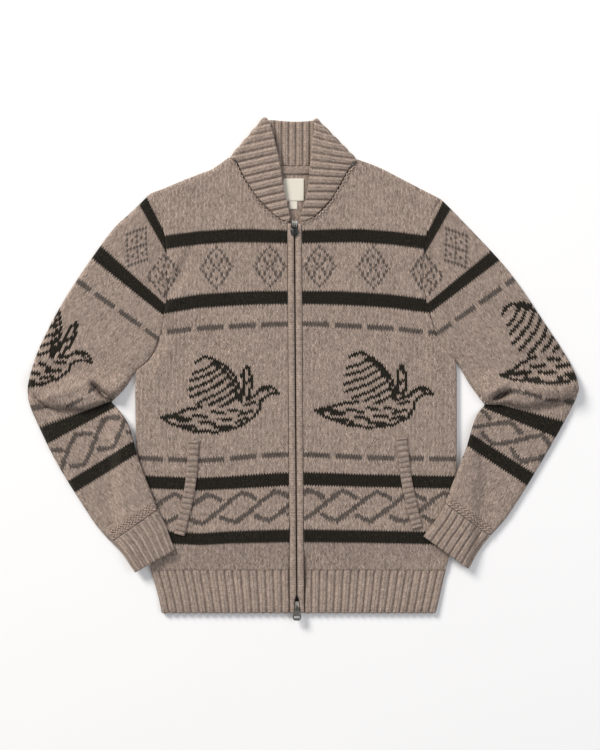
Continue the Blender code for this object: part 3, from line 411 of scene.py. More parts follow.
ELBOW_POCKETS = [
    (-318, -22, -298, -41, 5, -12), (330, -17, 402, -9, 5, -3.6),
]
# Lines where the cloth folds in on itself and little light gets in
DEEP_FOLDS = [
    ([(-317, -25.5), (-300, -40.5), (-286, -51)], 3.8, 0.85),
    ([(308, -47), (331, -37.5)], 4.6, 0.8),
]


def fold_shade(x, y):
    """How much light reaches each place, less inside the deep folds."""
    shade = np.ones(np.shape(x))
    for line, half, strength in DEEP_FOLDS:
        shade *= 1.0 - strength * np.exp(-(line_distance(x, y, line) / half) ** 2)
    return shade


BODY_CREASES = [
    (-166, 264, -100, 248, 20, -2), (92, 274, 166, 240, 22, -2.2),
    (-158, 190, -186, 138, 7, -2.4), (-173, 186, -199, 140, 7, 1.6),
    (-222, 96, -150, 168, 13, -2), (-236, 40, -176, 118, 10, 1.9),
    (-236, 10, -182, 70, 8, -1.8), (-232, -30, -196, 36, 7, 1.6),
    (226, 90, 168, 160, 13, -1.8), (238, 34, 184, 112, 10, 1.8),
    (238, 4, 188, 64, 8, -1.6), (236, -36, 204, 30, 7, 1.5),
    (-190, -262, 0, -257, 26, 3.4), (0, -257, 200, -262, 26, 3.4),
    (-200, -322, 0, -318, 34, -4.6), (0, -318, 210, -322, 34, -4.6),
    (-196, -150, -176, -262, 12, -1), (206, -140, 196, -262, 12, -1),
    (-120, 60, -60, 10, 26, 0.7), (70, 66, 130, 6, 26, 0.7),
]


def soft_folds(x, y, table):
    """Height that a table of creases adds; each one fades towards its ends."""
    height = np.zeros(np.shape(x))
    for ax, ay, bx, by, half, rise in table:
        away, t = segment_distance(x, y, ax, ay, bx, by)
        fade = 0.55 + 0.45 * np.sin(math.pi * t)
        height += rise * fade * np.exp(-(away / half) ** 2)
    return height


SIDE_LEFT = [(left, y) for y, left, right in SIDE]
SIDE_RIGHT = [(right, y) for y, left, right in SIDE]
SHOULDER_LEFT = [p for p in TOP_LINE if p[0] <= NECK_LEFT_X]
SHOULDER_RIGHT = [p for p in TOP_LINE if p[0] >= NECK_RIGHT_X]
HEM_EDGE = [SIDE_LEFT[0], SIDE_RIGHT[0]]
OUTLINES = [SIDE_LEFT, SIDE_RIGHT, SHOULDER_LEFT, SHOULDER_RIGHT, HEM_EDGE]


def edge_distance(x, y):
    """Distance from each point to the body's nearest edge."""
    return np.minimum.reduce([line_distance(x, y, line) for line in OUTLINES])


ARMHOLES = [ARMHOLE_LEFT, ARMHOLE_RIGHT]


def seam_dip(x, y):
    """The cloth sinks a little along each armhole seam."""
    away = np.minimum(*[line_distance(x, y, line) for line in ARMHOLES])
    return -1.5 * np.exp(-(away / 2.6) ** 2)


def ripple(x, y):
    """Slight unevenness of a soft knit lying on itself."""
    return 0.22 * np.sin(x / 31.0 + 1.3 * np.sin(y / 47.0)) * np.sin(y / 39.0 + 0.8 * np.sin(x / 53.0))


def front_top(x, y):
    """The fronts' upper side, rolled down at the edges."""
    roll = 1.0 - quarter_of(edge_distance(x, y) / EDGE_ROLL)
    creases = soft_folds(x, y, FRONT_FOLDS + BODY_CREASES)
    return FRONT_TOP + 1.6 * ripple(x, y) + creases + seam_dip(x, y) - FRONT_EDGE_DROP * roll


def height_at(surface, x, y):
    """A surface's height at one place."""
    return float(surface(np.array([x]), np.array([y]))[0])


def back_curl(x, y):
    """How far the back's edge lifts off the surface."""
    return BACK_EDGE_CURL * (1.0 - quarter_of(edge_distance(x, y) / (0.7 * EDGE_ROLL)))


def zip_x(y):
    """X of the zip's centre line, which leans a little."""
    t = (y - HEM_BOTTOM) / (ZIP_TOP - HEM_BOTTOM)
    return lerp(ZIP_X_BOTTOM, ZIP_X_TOP, t)


def side_at(y, side):
    """X of the body's side at a height up the plan."""
    column = 1 if side < 0 else 2
    return np.interp(y, [row[0] for row in SIDE], [row[column] for row in SIDE])


def over_body(x, y, side):
    """How far a sleeve is lifted where it lies on the body."""
    outside = side * (x - side_at(y, side))
    return OVER_BODY * smooth_of((RAMP_FAR - outside) / (RAMP_FAR - RAMP_NEAR))


# Halfway up from the surface to the fronts' upper side
MIDDLE = 0.5 * FRONT_TOP


class Arm:
    """One sleeve's edges and the heights of its two halves, above and below the elbow."""

    def __init__(self, side, upper_in, upper_out, elbow, fore_in, fore_out, armhole):
        self.side = side
        self.elbow = evenly(elbow, 24)
        self.upper_in = evenly(upper_in, 10)
        self.upper_out = evenly(upper_out, 40)
        self.fore_in = evenly(fore_in, 24)
        self.fore_out = evenly(fore_out, 30)
        self.armhole = [(x - side * 0.6, y) for x, y in evenly(armhole, 40)]

    def rim(self, x, y, edges):
        return quarter_of(np.minimum(*[line_distance(x, y, e) for e in edges]) / EDGE_ROLL)

    def upper_edges(self):
        return self.upper_in, self.upper_out + self.fore_out[:6]

    def fore_edges(self):
        return self.upper_in[-4:] + self.fore_in, self.upper_out[-6:] + self.fore_out

    def upper_top(self, x, y):
        away = line_distance(x, y, self.elbow)
        roll = (ELBOW_ROLL + 6.0) * smooth_of((58.0 - away) / 44.0)
        full = FRONT_TOP + 1.6 * ripple(x, y) + roll
        full += smooth_of((away + 8.0) / 20.0) * soft_folds(x, y, SLEEVE_FOLDS)
        full += soft_folds(x, y, CREASES + FORE_CREASES + ELBOW_POCKETS) + seam_dip(x, y)
        shell = MIDDLE + (full - MIDDLE) * self.rim(x, y, self.upper_edges())
        tuck = quarter_of(away / 11.0)
        return shell * tuck + (FRONT_TOP - 1.6) * (1.0 - tuck) * np.minimum(1.0, shell / FRONT_TOP)

    def upper_low(self, x, y):
        return MIDDLE * (1.0 - self.rim(x, y, self.upper_edges()))

    def lift(self, x, y):
        away = line_distance(x, y, self.elbow)
        return smooth_of(away / 22.0) * over_body(x, y, self.side)

    def fore_top(self, x, y):
        full = FRONT_TOP - 0.6 + 1.6 * ripple(x, y) + soft_folds(x, y, SLEEVE_FOLDS + FORE_CREASES)
        full -= 1.5 * (1.0 - smooth_of(line_distance(x, y, self.elbow) / 16.0))
        return self.lift(x, y) + MIDDLE + (full - MIDDLE) * self.rim(x, y, self.fore_edges())

    def fore_low(self, x, y):
        return self.lift(x, y) + MIDDLE * (1.0 - self.rim(x, y, self.fore_edges()))

    def upper_outline(self):
        return self.armhole + self.upper_out[1:] + list(reversed(self.elbow))[1:] \
            + list(reversed(self.upper_in))[1:-1]

    def fore_outline(self, reach=26.0):
        """The forearm's plan, carried up under the elbow's roll."""
        shifted = [(x - self.side * 4.0, y + reach) for x, y in self.elbow[3:-3]]
        start = [self.elbow[0]] + shifted + [self.elbow[-1]]
        return start + self.fore_out + list(reversed(self.fore_in))


LEFT_ARM = Arm(-1, UPPER_IN_LEFT, UPPER_OUT_LEFT, ELBOW_LEFT, FORE_IN_LEFT, FORE_OUT_LEFT,
               ARMHOLE_LEFT)
RIGHT_ARM = Arm(1, UPPER_IN_RIGHT, UPPER_OUT_RIGHT, ELBOW_RIGHT, FORE_IN_RIGHT, FORE_OUT_RIGHT,
                ARMHOLE_RIGHT)


# Knit gauge: one stitch is a V of two slanted legs
WALE = 4.15
COURSE = 2.6
SLANT = 1.65
# The body's stitches out to each side, and its courses from the hem up
BODY_WALES = 66
BODY_COURSES = (-4, 262)
# Points nearer to each other than this are one, in metres
WELD = 0.00002
HEATHER = 0.2
BASE, DARK, GREY = 0, 1, 2
YARN_HEX = {BASE: "#A39185", DARK: "#14110A", GREY: "#5B524D"}


def linear(hexcode):
    """An sRGB hex colour as linear RGBA."""
    channels = [int(hexcode[k:k + 2], 16) / 255 for k in (1, 3, 5)]
    return tuple(c / 12.92 if c <= 0.04045 else ((c + 0.055) / 1.055) ** 2.4 for c in channels) + (1.0,)


YARN = np.array([linear(YARN_HEX[k]) for k in (BASE, DARK, GREY)])


def inside_outline(x, y, outline):
    """Which points lie inside a closed outline."""
    inside = np.zeros(x.shape, bool)
    ax, ay = outline[-1]
    for bx, by in outline:
        crosses = (ay > y) != (by > y)
        if ay != by:
            inside ^= crosses & (x < (bx - ax) * (y - ay) / (by - ay) + ax)
        ax, ay = bx, by
    return inside


def nearest_on_outline(x, y, outline):
    """The nearest place on a closed outline to each point."""
    best = np.full(x.shape, 1e9)
    nx, ny = x.copy(), y.copy()
    ax, ay = outline[-1]
    for bx, by in outline:
        if (ax, ay) == (bx, by):
            continue
        away, t = segment_distance(x, y, ax, ay, bx, by)
        closer = away < best
        best = np.where(closer, away, best)
        nx = np.where(closer, ax + t * (bx - ax), nx)
        ny = np.where(closer, ay + t * (by - ay), ny)
        ax, ay = bx, by
    return nx, ny


def corners_of(grid):
    """The four values round each cell of a grid, in order."""
    return np.stack([grid[:-1, :-1], grid[:-1, 1:], grid[1:, 1:], grid[1:, :-1]], 2)


class Cloth:
    """Gathers the faces of one piece of cloth: points, faces, colours, yarn coordinates, and shades,
    which are random heather tone times any painted shade.
    """

    def __init__(self):
        self.points, self.faces, self.colours, self.uvs, self.shades = [], [], [], [], []
        self.count = 0
        self.random = np.random.default_rng(12)

    def add(self, points, faces, colours, uvs, shades=None):
        self.points.append(points)
        self.shades.append(np.ones((len(faces), 4)) if shades is None else shades)
        self.faces.append(faces + self.count)
        self.colours.append(colours)
        self.uvs.append(uvs)
        self.count += len(points)

    def add_sheet(self, outline, lattice, height, chart, up=True, skirt=None, marks=None, dim=None):
        """A sheet of stitches cut to an outline and laid at a height.

        lattice turns wale and course numbers into plan points and knit places; chart gives
        a yarn for each knit place; skirt is the height that the sheet's edge turns down to;
        marks adds what is placed on the plan itself; dim gives how much light each place gets.
        """
        columns, rows, place = lattice
        c = np.arange(2 * columns[0], 2 * columns[1] + 1)
        r = np.arange(rows[0], rows[1] + 1)
        cc, rr = np.meshgrid(c, r)
        slant = np.where(cc % 2 == 0, SLANT, 0.0)
        x, y, _, _ = place(cc / 2.0, rr + slant)
        middle = [0.25 * (g[:-1, :-1] + g[1:, :-1] + g[:-1, 1:] + g[1:, 1:]) for g in (x, y)]
        keep = inside_outline(*middle, outline)
        faces = corners_of(np.arange(x.size).reshape(x.shape))[keep]
        used = np.zeros(x.size, int)
        np.add.at(used, faces.ravel(), 1)
        x, y = x.ravel(), y.ravel()
        edge = (used > 0) & (used < 4)
        x[edge], y[edge] = nearest_on_outline(x[edge], y[edge], outline)
        stitch = np.floor(cc[:-1, :-1] / 2.0)[keep]
        course = rr[:-1, :-1][keep]
        plan_x, plan_y, knit_x, knit_y = place(stitch + 0.5, course + 0.5)
        yarn = chart(knit_x, knit_y)
        if marks is not None:
            marks(yarn, plan_x, plan_y)
        u, v = corners_of(cc)[keep] / 2.0, corners_of(rr)[keep]
        number = np.full(used.size, -1)
        number[used > 0] = np.arange(np.count_nonzero(used))
        faces = number[faces]
        x, y = x[used > 0], y[used > 0]
        z = height(x, y)
        ax, ay = x[faces[:, 1]] - x[faces[:, 0]], y[faces[:, 1]] - y[faces[:, 0]]
        bx, by = x[faces[:, 2]] - x[faces[:, 0]], y[faces[:, 2]] - y[faces[:, 0]]
        if (np.median(ax * by - ay * bx) > 0) != up:
            faces, u, v = faces[:, ::-1], u[:, ::-1], v[:, ::-1]
        points = np.stack([x, y, z], -1)
        heather = 1.0 + HEATHER * self.random.standard_normal((len(faces), 1))
        shades = np.repeat(np.clip(heather, 0.4, 1.7), 4, axis=1)
        if dim is not None:
            shades = shades * dim(points[faces, 0], points[faces, 1])
        self.add(points, faces, YARN[yarn], np.stack([u, v], -1), shades)
        if skirt is not None:
            self.add_skirt(points, faces, YARN[yarn], skirt)

    def add_skirt(self, points, faces, colours, skirt):
        """Turns the open edge of a sheet down to another height."""
        starts = faces.ravel()
        ends = np.roll(faces, -1, axis=1).ravel()
        size = len(points)
        forward, backward = starts * size + ends, ends * size + starts
        open_edge = ~np.isin(forward, backward)
        a, b = starts[open_edge], ends[open_edge]
        same = np.hypot(*(points[a, :2] - points[b, :2]).T) < 1e-6
        a, b = a[~same], b[~same]
        colour = np.repeat(colours, 4, axis=0)[open_edge][~same]
        low = points.copy()
        low[:, 2] = skirt(low[:, 0], low[:, 1])
        strip = np.concatenate([points[a], points[b], low[b], low[a]])
        n = len(a)
        order = np.stack([np.arange(n) + n, np.arange(n), np.arange(n) + 3 * n, np.arange(n) + 2 * n], -1)
        uv = np.tile(np.array([[0.5, 0.0], [0.0, 0.0], [0.0, 1.0], [0.5, 1.0]]), (n, 1, 1))
        self.add(strip, order, colour, uv)

    def add_grid(self, rows, u, v, ring=False, flip=False, shade=None, places=None):
        """A plain grid of points, with its yarn coordinates given along both ways."""
        points = np.asarray(rows, float)
        # Random heather tone, times any painted shade given
        dim = 1.0 + 0.9 * HEATHER * self.random.standard_normal(points.shape[:2])
        dim = np.clip(dim, 0.7, 1.35) * (1.0 if shade is None else np.asarray(shade, float))
        count, width = points.shape[:2]
        index = np.arange(count * width).reshape(count, width)
        if ring:
            index = np.concatenate([index, index[:, :1]], axis=1)
            u = list(u) + [u[-1] + (u[-1] - u[-2])]
        uv = np.stack(np.meshgrid(u, v) if places is None else places, -1)
        faces, corners = corners_of(index).reshape(-1, 4), corners_of(uv).reshape(-1, 4, 2)
        if flip:
            faces, corners = faces[:, ::-1], corners[:, ::-1]
        self.add(points.reshape(-1, 3), faces, np.tile(YARN[BASE], (len(faces), 1)), corners,
                 dim.ravel()[faces])

    def finish(self, name, material):
        points = np.concatenate(self.points) * MM
        points[:, 2] = np.maximum(points[:, 2], 0.0)
        faces = np.concatenate(self.faces)
        mesh = bpy.data.meshes.new(name)
        mesh.vertices.add(len(points))
        mesh.vertices.foreach_set("co", points.ravel())
        mesh.loops.add(faces.size)
        mesh.loops.foreach_set("vertex_index", faces.ravel())
        mesh.polygons.add(len(faces))
        mesh.polygons.foreach_set("loop_start", np.arange(0, faces.size, 4))
        mesh.polygons.foreach_set("loop_total", np.full(len(faces), 4))
        mesh.update(calc_edges=True)
        colours = mesh.color_attributes.new("yarn", "FLOAT_COLOR", "CORNER")
        tone = np.repeat(np.concatenate(self.colours), 4, axis=0)
        # Each corner's yarn colour times its heather tone and its painted shade
        tone[:, :3] *= np.concatenate(self.shades).reshape(-1, 1)
        colours.data.foreach_set("color", tone.ravel())
        layer = mesh.uv_layers.new(name="knit")
        layer.data.foreach_set("uv", np.concatenate(self.uvs).ravel())
        with edited(mesh) as shape:
            bmesh.ops.remove_doubles(shape, verts=shape.verts, dist=WELD)
            bmesh.ops.dissolve_degenerate(shape, edges=shape.edges, dist=WELD)
        mesh.shade_smooth()
        mesh.materials.append(material)
        return shown(name + "_cloth", mesh)


# How the body's courses bow: distance from the zip, then the shift at each height
BOW_OUT = [0.0, 60.0, 100.0, 150.0, 200.0, 260.0]
BOW_Y = [-314.0, -258.0, -172.0, -137.0, -40.0, 60.0, 108.0, 205.0]
BOW_LEFT = [
    [0, 0, 0, 0, 0, 0], [0, -1.5, -2.5, -6, -3, 0],
    [0, -4, -6.5, -8.5, -7, -4], [0, -2.5, -7, -10, -8, -5],
    [0, -1, -3, -5, -6, -6], [0, -3, -5, -8, -13, -17],
    [0, -0.5, -2.5, -6, -15, -30], [0, 2, 2.5, -1, -7.5, -13],
]
BOW_RIGHT = [
    [0, 0, 0, 0, 0, 0], [0, -1, -1.5, -2.5, -4, -5],
    [0, -1.5, -3, -4, -5, -6], [0, -2.5, -5, -6, -7, -7.5],
    [0, -1, -3, -5, -6, -6], [0, -3, -5, -8, -13, -17],
    [0, -0.5, -2.5, -6, -13, -18], [0, 2, 2.5, -1, -7.5, -13],
]


def bow(out, y, table):
    """Reads a bow table between its rows and columns."""
    columns = [np.interp(y, BOW_Y, [row[k] for row in table]) for k in range(len(BOW_OUT))]
    place = np.interp(out, BOW_OUT, np.arange(len(BOW_OUT)))
    low = np.clip(place.astype(int), 0, len(BOW_OUT) - 2)
    part = place - low
    stack = np.stack(columns)
    a = np.take_along_axis(stack, low[None], 0)[0]
    b = np.take_along_axis(stack, low[None] + 1, 0)[0]
    return a + part * (b - a)


def course_y(row):
    """Height of a body course up the plan, before it bows."""
    return HEM_TOP + (row - 2.0) * COURSE


def front_lattice(side):
    """Stitches counted outwards from the zip, courses upwards from the hem."""
    table = BOW_LEFT if side < 0 else BOW_RIGHT

    def place(column, row):
        out = FACING_OUT + 0.3 + column * WALE
        knit_y = course_y(row)
        y = knit_y + bow(out, knit_y, table)
        return zip_x(y) + side * out, y, side * out, knit_y

    return (-1, BODY_WALES), BODY_COURSES, place


def back_lattice():
    """The back's stitches, counted both ways from its middle."""

    def place(column, row):
        x = column * WALE
        knit_y = course_y(row)
        return x, knit_y + bow(np.abs(x), knit_y, BOW_RIGHT), x, knit_y

    return (-BODY_WALES, BODY_WALES), BODY_COURSES, place


def spine_lattice(spine, across, start, length):
    """Stitches fanned about a line of centres: rows of X, Y and the course's angle in degrees."""
    centres = [(x, y) for x, y, angle in spine]
    run = lengths(centres)
    angles = [math.radians(angle) for x, y, angle in spine]

    def place(column, row):
        a = start + row * COURSE
        before = np.minimum(a, 0.0)
        after = np.maximum(a - run[-1], 0.0)
        inner = np.clip(a, 0.0, run[-1])
        x = np.interp(inner, run, [p[0] for p in centres])
        y = np.interp(inner, run, [p[1] for p in centres])
        angle = np.interp(inner, run, angles)
        first, last = unit(centres[0], centres[1]), unit(centres[-2], centres[-1])
        x = x + before * first[0] + after * last[0] + column * WALE * np.cos(angle)
        y = y + before * first[1] + after * last[1] + column * WALE * np.sin(angle)
        return x, y, column * WALE, a

    half = int(across / WALE) + 1
    return (-half, half), (0, int(length / COURSE)), place


def unit(a, b):
    """The direction from one point to another."""
    size = math.dist(a, b)
    return (b[0] - a[0]) / size, (b[1] - a[1]) / size


# Colour charts, each drawn from a few sizes in millimetres
STRIPE_HALF = 10.1
BODY_STRIPES = (200.2, 106.4, -173.2, -262.0)
DASH_HALF = 3.5
DASH_PERIOD, DASH_LENGTH, DASH_START = 48.5, 41.0, 13.5
BODY_DASHES = (67.5, -136.3)
DIAMOND_Y, DIAMOND_PERIOD, DIAMOND_FIRST = 155.3, 82.2, 38.6
DIAMOND_HALF = 6
SEAM_DIAMOND = (203.0, 144.0)
BRAID_Y, BRAID_PERIOD, BRAID_X = -214.0, 52.3, -63.4
BRAID_STRAND = [(-52.0, -15.0), (-42.0, -20.0), (-30.5, -23.0), (-15.0, -12.5), (0.0, 0.0),
                (15, 12.5), (30.5, 23), (42, 19), (52, 13)]
BRAID_HALF = 3.7
BIRD_HALF = 2.5
BIRD_AT = [(-119, -38), (121, -33)]

# A flying waterfowl, drawn for this piece, in millimetres from its middle
BIRD_STROKES = [
    [(-90, -34), (-72, -45), (-40, -54), (-5, -57), (28, -52), (52, -40), (64, -24)],
    [(-90, -34), (-70, -30), (-48, -22), (-26, -19)],
    [(-84, -36), (-62, -34), (-44, -38)],
    [(44, -12), (56, -6), (64, 4), (74, 9), (84, 6), (92, -3)],
    [(92, -3), (78, -4), (68, -10), (62, -20)],
    [(64, 2), (72, 4), (78, 2)],
    [(36, -14), (33, 6), (26, 24), (14, 40), (-2, 52), (-20, 60)],
    [(30, -12), (27, 6), (20, 22), (8, 38), (-10, 50)],
    [(-20, 60), (-36, 52)],
    [(-4, 50), (-22, 40), (-40, 34)],
    [(2, 42), (-18, 30), (-44, 22)],
    [(8, 34), (-14, 20), (-46, 8)],
    [(14, 25), (-8, 10), (-44, -4)],
    [(20, 15), (0, 1), (-34, -14)],
    [(24, 5), (8, -7), (-14, -16)],
    [(28, -6), (16, -14), (2, -20)],
    [(44, -10), (50, 8), (50, 26), (44, 42)],
    [(44, 42), (37, 30), (38, 12), (40, -4)],
    [(48, 20), (40, 12)],
    [(-66, -38), (-50, -40)],
    [(-56, -46), (-34, -49)],
    [(-40, -31), (-18, -34)],
    [(-30, -41), (-8, -44)],
    [(-10, -27), (8, -30)],
    [(-6, -50), (18, -49)],
    [(0, -38), (20, -39)],
    [(16, -26), (34, -28)],
    [(26, -44), (44, -38)],
    [(30, -34), (50, -29)],
    [(40, -20), (54, -16)],
]


def lay_stripe(yarn, y, centre):
    yarn[np.abs(y - centre) < STRIPE_HALF] = DARK


def lay_dashes(yarn, x, y, centre, start=DASH_START):
    """A broken grey line along one height."""
    on = np.mod(x - start, DASH_PERIOD) < DASH_LENGTH
    yarn[(np.abs(y - centre) < DASH_HALF) & on] = GREY


def lay_diamond(yarn, x, y, cx, cy):
    """A diamond divided into four, each with a dot in it, counted in stitches."""
    across = np.round((x - cx) / WALE)
    up = np.round((y - cy) / (2.0 * COURSE))
    s, t = across + up, across - up
    half = step = DIAMOND_HALF
    within = (np.abs(s) <= half) & (np.abs(t) <= half)
    line = (np.mod(s + half, step) == 0) | (np.mod(t + half, step) == 0)
    dot = (np.mod(s + half, step) == step // 2) & (np.mod(t + half, step) == step // 2)
    yarn[within & (line | dot)] = GREY


def lay_braid(yarn, x, y, cx, cy):
    """Interlaced strands: each one dips, rises the whole height and dips again."""
    for shift in (-1, 0, 1):
        px = np.mod(x - cx + 0.5 * BRAID_PERIOD, BRAID_PERIOD) - 0.5 * BRAID_PERIOD
        near = line_distance(px + shift * BRAID_PERIOD, y - cy, BRAID_STRAND)
        yarn[near < BRAID_HALF] = GREY


def lay_bird(yarn, x, y, cx, cy):
    """Draws the waterfowl's strokes in dark yarn about a middle."""
    box = (np.abs(x - cx) < 98.0) & (np.abs(y - cy) < 66.0)
    px, py = x[box] - cx, y[box] - cy
    near = np.minimum.reduce([line_distance(px, py, stroke) for stroke in BIRD_STROKES])
    part = yarn[box]
    part[near < BIRD_HALF] = DARK
    yarn[box] = part


def body_chart(x, y):
    """The yarn at each place on the back or a front."""
    yarn = np.full(x.shape, BASE)
    out = np.abs(x)
    for centre in BODY_DASHES:
        lay_dashes(yarn, out, y, centre)
    for k in range(3):
        for side in (-1, 1):
            at = side * (DIAMOND_FIRST + k * DIAMOND_PERIOD)
            lay_diamond(yarn, x, y, at, DIAMOND_Y)
    lay_braid(yarn, x, y, BRAID_X, BRAID_Y)
    for cx, cy in BIRD_AT:
        lay_bird(yarn, x, y, cx, cy)
    for centre in BODY_STRIPES:
        lay_stripe(yarn, y, centre)
    return yarn


# Sleeve courses: lines of centres with the courses' angles, and where each band lies on them
UPPER_SPINE_LEFT = [
    (-218.7, 228, -63.2), (-259.2, 134.9, -39.3), (-283.7, 97.7, -35.8), (-311.6, 51.2, -30),
    (-334.8, 4.7, -18), (-350.3, -49.6, -5), (-352, -75, 0),
]
UPPER_SPINE_RIGHT = [
    (215.8, 222.7, 62.9), (257, 135.6, 37.7), (272.8, 94.6, 35.7), (308.5, 48, 30),
    (334.8, 4.7, 16), (355, -41.9, 0), (357, -70, -2),
]
FORE_SPINE_LEFT = [
    (-347.2, -65.1, 12), (-340.4, -78.9, 27.7), (-299.8, -152.7, 32), (-255.8, -227.9, 30.2),
    (-249.6, -238.7, 30.2),
]
FORE_SPINE_RIGHT = [
    (353.4, -55.8, -8), (353.4, -74.4, -20), (317.1, -140.3, -33.5), (277.5, -212.4, -33.4),
    (266.6, -231, -33.4),
]
# Upper arm: second stripe, dashes and diamonds, then the bird's place across and along
UPPER_BANDS_LEFT = (98.4, 146.0, 52.0, -12.0, -78.0, 238.0)
UPPER_BANDS_RIGHT = (96.4, 141.0, 50.0, 14.0, 66.0, 226.0)
# Forearm: first stripe, second stripe, braid between them, dashes above them
FORE_BANDS_LEFT = (15.4, 99.6, 57.0, -20.0)
FORE_BANDS_RIGHT = (18.6, 93.9, 56.0, -18.0)


def upper_chart(bands):
    """The yarn at each place on an upper arm."""
    second, dashes, diamonds, diamond_x, bird_x, bird_a = bands

    def chart(x, a):
        yarn = np.full(x.shape, BASE)
        lay_dashes(yarn, x, a, dashes)
        for k in (0, 1):
            at = diamond_x + math.copysign(k * DIAMOND_PERIOD, diamond_x)
            lay_diamond(yarn, x, a, at, diamonds)
        lay_bird(yarn, x, -a, bird_x, -bird_a)
        lay_stripe(yarn, a, 0.0)
        lay_stripe(yarn, a, second)
        return yarn

    return chart


def fore_chart(bands):
    """The yarn at each place on a forearm."""
    first, second, braid, dashes = bands

    def chart(x, a):
        yarn = np.full(x.shape, BASE)
        lay_dashes(yarn, x, a, dashes)
        lay_braid(yarn, x, -a, 8.0, -braid)
        lay_stripe(yarn, a, first)
        lay_stripe(yarn, a, second)
        return yarn

    return chart


# Dashes that show on the cloth rolled over at each elbow, as places on the plan
ROLL_DASHES_LEFT = [[(-351.9, -55.8), (-330.2, -47.3)], [(-319.3, -35.7), (-313.1, -31.0)],
                    [(-409.2, -63.6), (-389, -58.1)]]
ROLL_DASHES_RIGHT = [[(333.3, -34.1), (342.6, -34.1)], [(351.9, -35.7), (378.2, -43.4)],
                     [(387.5, -46.5), (403, -48)], [(418.5, -49.6), (432.5, -55)]]


# Pieces of cloth: width and length of each flat cut, in metres

LABEL_FLAT = (0.033, 0.035)
TAB_FLAT = (0.0126, 0.0122)


def settle(piece, body, name):
    """Says which body a piece rides on and which solid it replaces."""
    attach(piece, body)
    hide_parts(name)
    return piece


def carry(cloth, name, material, closed=False):
    """Finishes a piece of cloth, turns a closed one's faces outwards, and puts it in place of its solid.
    """
    piece = cloth.finish(name, material)
    if closed:
        recalculate(piece)
    settle(piece, "root", name)
    return piece


def front_outline(side):
    """The plan of one front, from the zip's foot round to the zip again."""
    hem = HEM_TOP - 0.5
    seam = evenly(ARMHOLE_LEFT if side < 0 else ARMHOLE_RIGHT, 40)
    neck = evenly(NECKLINE_LEFT if side < 0 else NECKLINE_RIGHT, 30)
    shoulder = SHOULDER_LEFT if side < 0 else list(reversed(SHOULDER_RIGHT))
    side_line = SIDE_LEFT if side < 0 else SIDE_RIGHT
    inner = side * (FACING_OUT + 0.3)
    outline = [(zip_x(hem) + inner, hem), (float(side_at(hem, side)), hem)]
    outline += [p for p in side_line if hem + 5.0 < p[1] < -7.0]
    outline += seam + shoulder[1:-1] + list(reversed(neck))
    outline.append((zip_x(ZIP_TOP - 1.0) + inner, ZIP_TOP - 1.0))
    return outline


def make_front(side, name, material):
    cloth = Cloth()
    cloth.add_sheet(front_outline(side), front_lattice(side), front_top, body_chart,
                    skirt=lambda x, y: front_top(x, y) - CLOTH)
    return carry(cloth, name, material)


# Y above which the back's inside is knitted too, since it shows in the neck
NECK_INSIDE = 190.0


def back_outline():
    hem = HEM_TOP + SEAM_GAP
    left = evenly(ARMHOLE_LEFT, 40)
    right = evenly(ARMHOLE_RIGHT, 40)
    left_side, right_side = [[p for p in line if hem + 5.0 < p[1] < -7.0]
                             for line in (SIDE_LEFT, SIDE_RIGHT)]
    return [(float(side_at(hem, -1)), hem), *left_side, *left, *TOP_LINE[1:-1],
            *reversed(right), *reversed(right_side), (float(side_at(hem, 1)), hem)]


def make_back(material):
    """The back: its outside lies on the surface, its inside shows in the neck."""
    cloth = Cloth()
    cloth.add_sheet(back_outline(), back_lattice(), back_curl, body_chart, up=False,
                    skirt=lambda x, y: BACK_TOP + back_curl(x, y))
    inside = [p for p in back_outline() if p[1] > NECK_INSIDE]
    cloth.add_sheet(inside, back_lattice(), lambda x, y: BACK_TOP + back_curl(x, y),
                    lambda x, y: np.full(x.shape, BASE))
    return carry(cloth, "back_panel", material)


def roll_marks(dashes, side):
    """The dashes over an elbow's roll, and the diamond that the armhole seam cuts in two."""

    def marks(yarn, x, y):
        for dash in dashes:
            yarn[line_distance(x, y, dash) < 3.0] = GREY
        lay_diamond(yarn, x, y, side * SEAM_DIAMOND[0] + zip_x(SEAM_DIAMOND[1]), SEAM_DIAMOND[1])

    return marks


# Half width, start and length of the stitches laid for each half of a sleeve
UPPER_REACH = (190.0, -100.0, 430.0)
FORE_REACH = (110.0, -70.0, 300.0)


def make_sleeve(arm, name, upper, fore, upper_bands, fore_bands, material):
    """A whole sleeve: upper arm and forearm, each with its upper side and its underside."""
    cloth = Cloth()
    marks = roll_marks(ROLL_DASHES_LEFT if arm.side < 0 else ROLL_DASHES_RIGHT, arm.side)
    up_lattice = spine_lattice(upper, *UPPER_REACH)
    fore_lattice = spine_lattice(fore, *FORE_REACH)
    up_chart, low_chart = upper_chart(upper_bands), fore_chart(fore_bands)
    outline = arm.upper_outline()
    cloth.add_sheet(outline, up_lattice, arm.upper_top, up_chart, marks=marks,
                    skirt=lambda x, y: arm.upper_top(x, y) - CLOTH, dim=fold_shade)
    cloth.add_sheet(outline, up_lattice, arm.upper_low, up_chart, up=False)
    outline = arm.fore_outline()
    cloth.add_sheet(outline, fore_lattice, arm.fore_top, low_chart, marks=marks,
                    skirt=lambda x, y: arm.fore_top(x, y) - CLOTH)
    flush = arm.fore_outline(0.0)
    cloth.add_sheet(flush, fore_lattice, arm.fore_low, low_chart, up=False)
    return carry(cloth, name, material)


def rib_height(t):
    """A rounded rib with a narrow groove; t is the place across one rib, 0 to 1."""
    return abs(math.sin(math.pi * t)) ** 0.75


RIB_STEPS = 10
RIB_DEPTH = 2.6
RIB_SINK = 0.72


def ribs_across(steps):
    """Rib heights at even steps, beginning in a groove."""
    return np.array([rib_height((k % RIB_STEPS) / RIB_STEPS) for k in range(steps + 1)])


def groove_shade(rib, strength=1.0):
    """How dark the yarn looks: less light gets down between two ribs."""
    return 1.0 - strength * 0.3 * (1.0 - np.asarray(rib)) ** 1.2


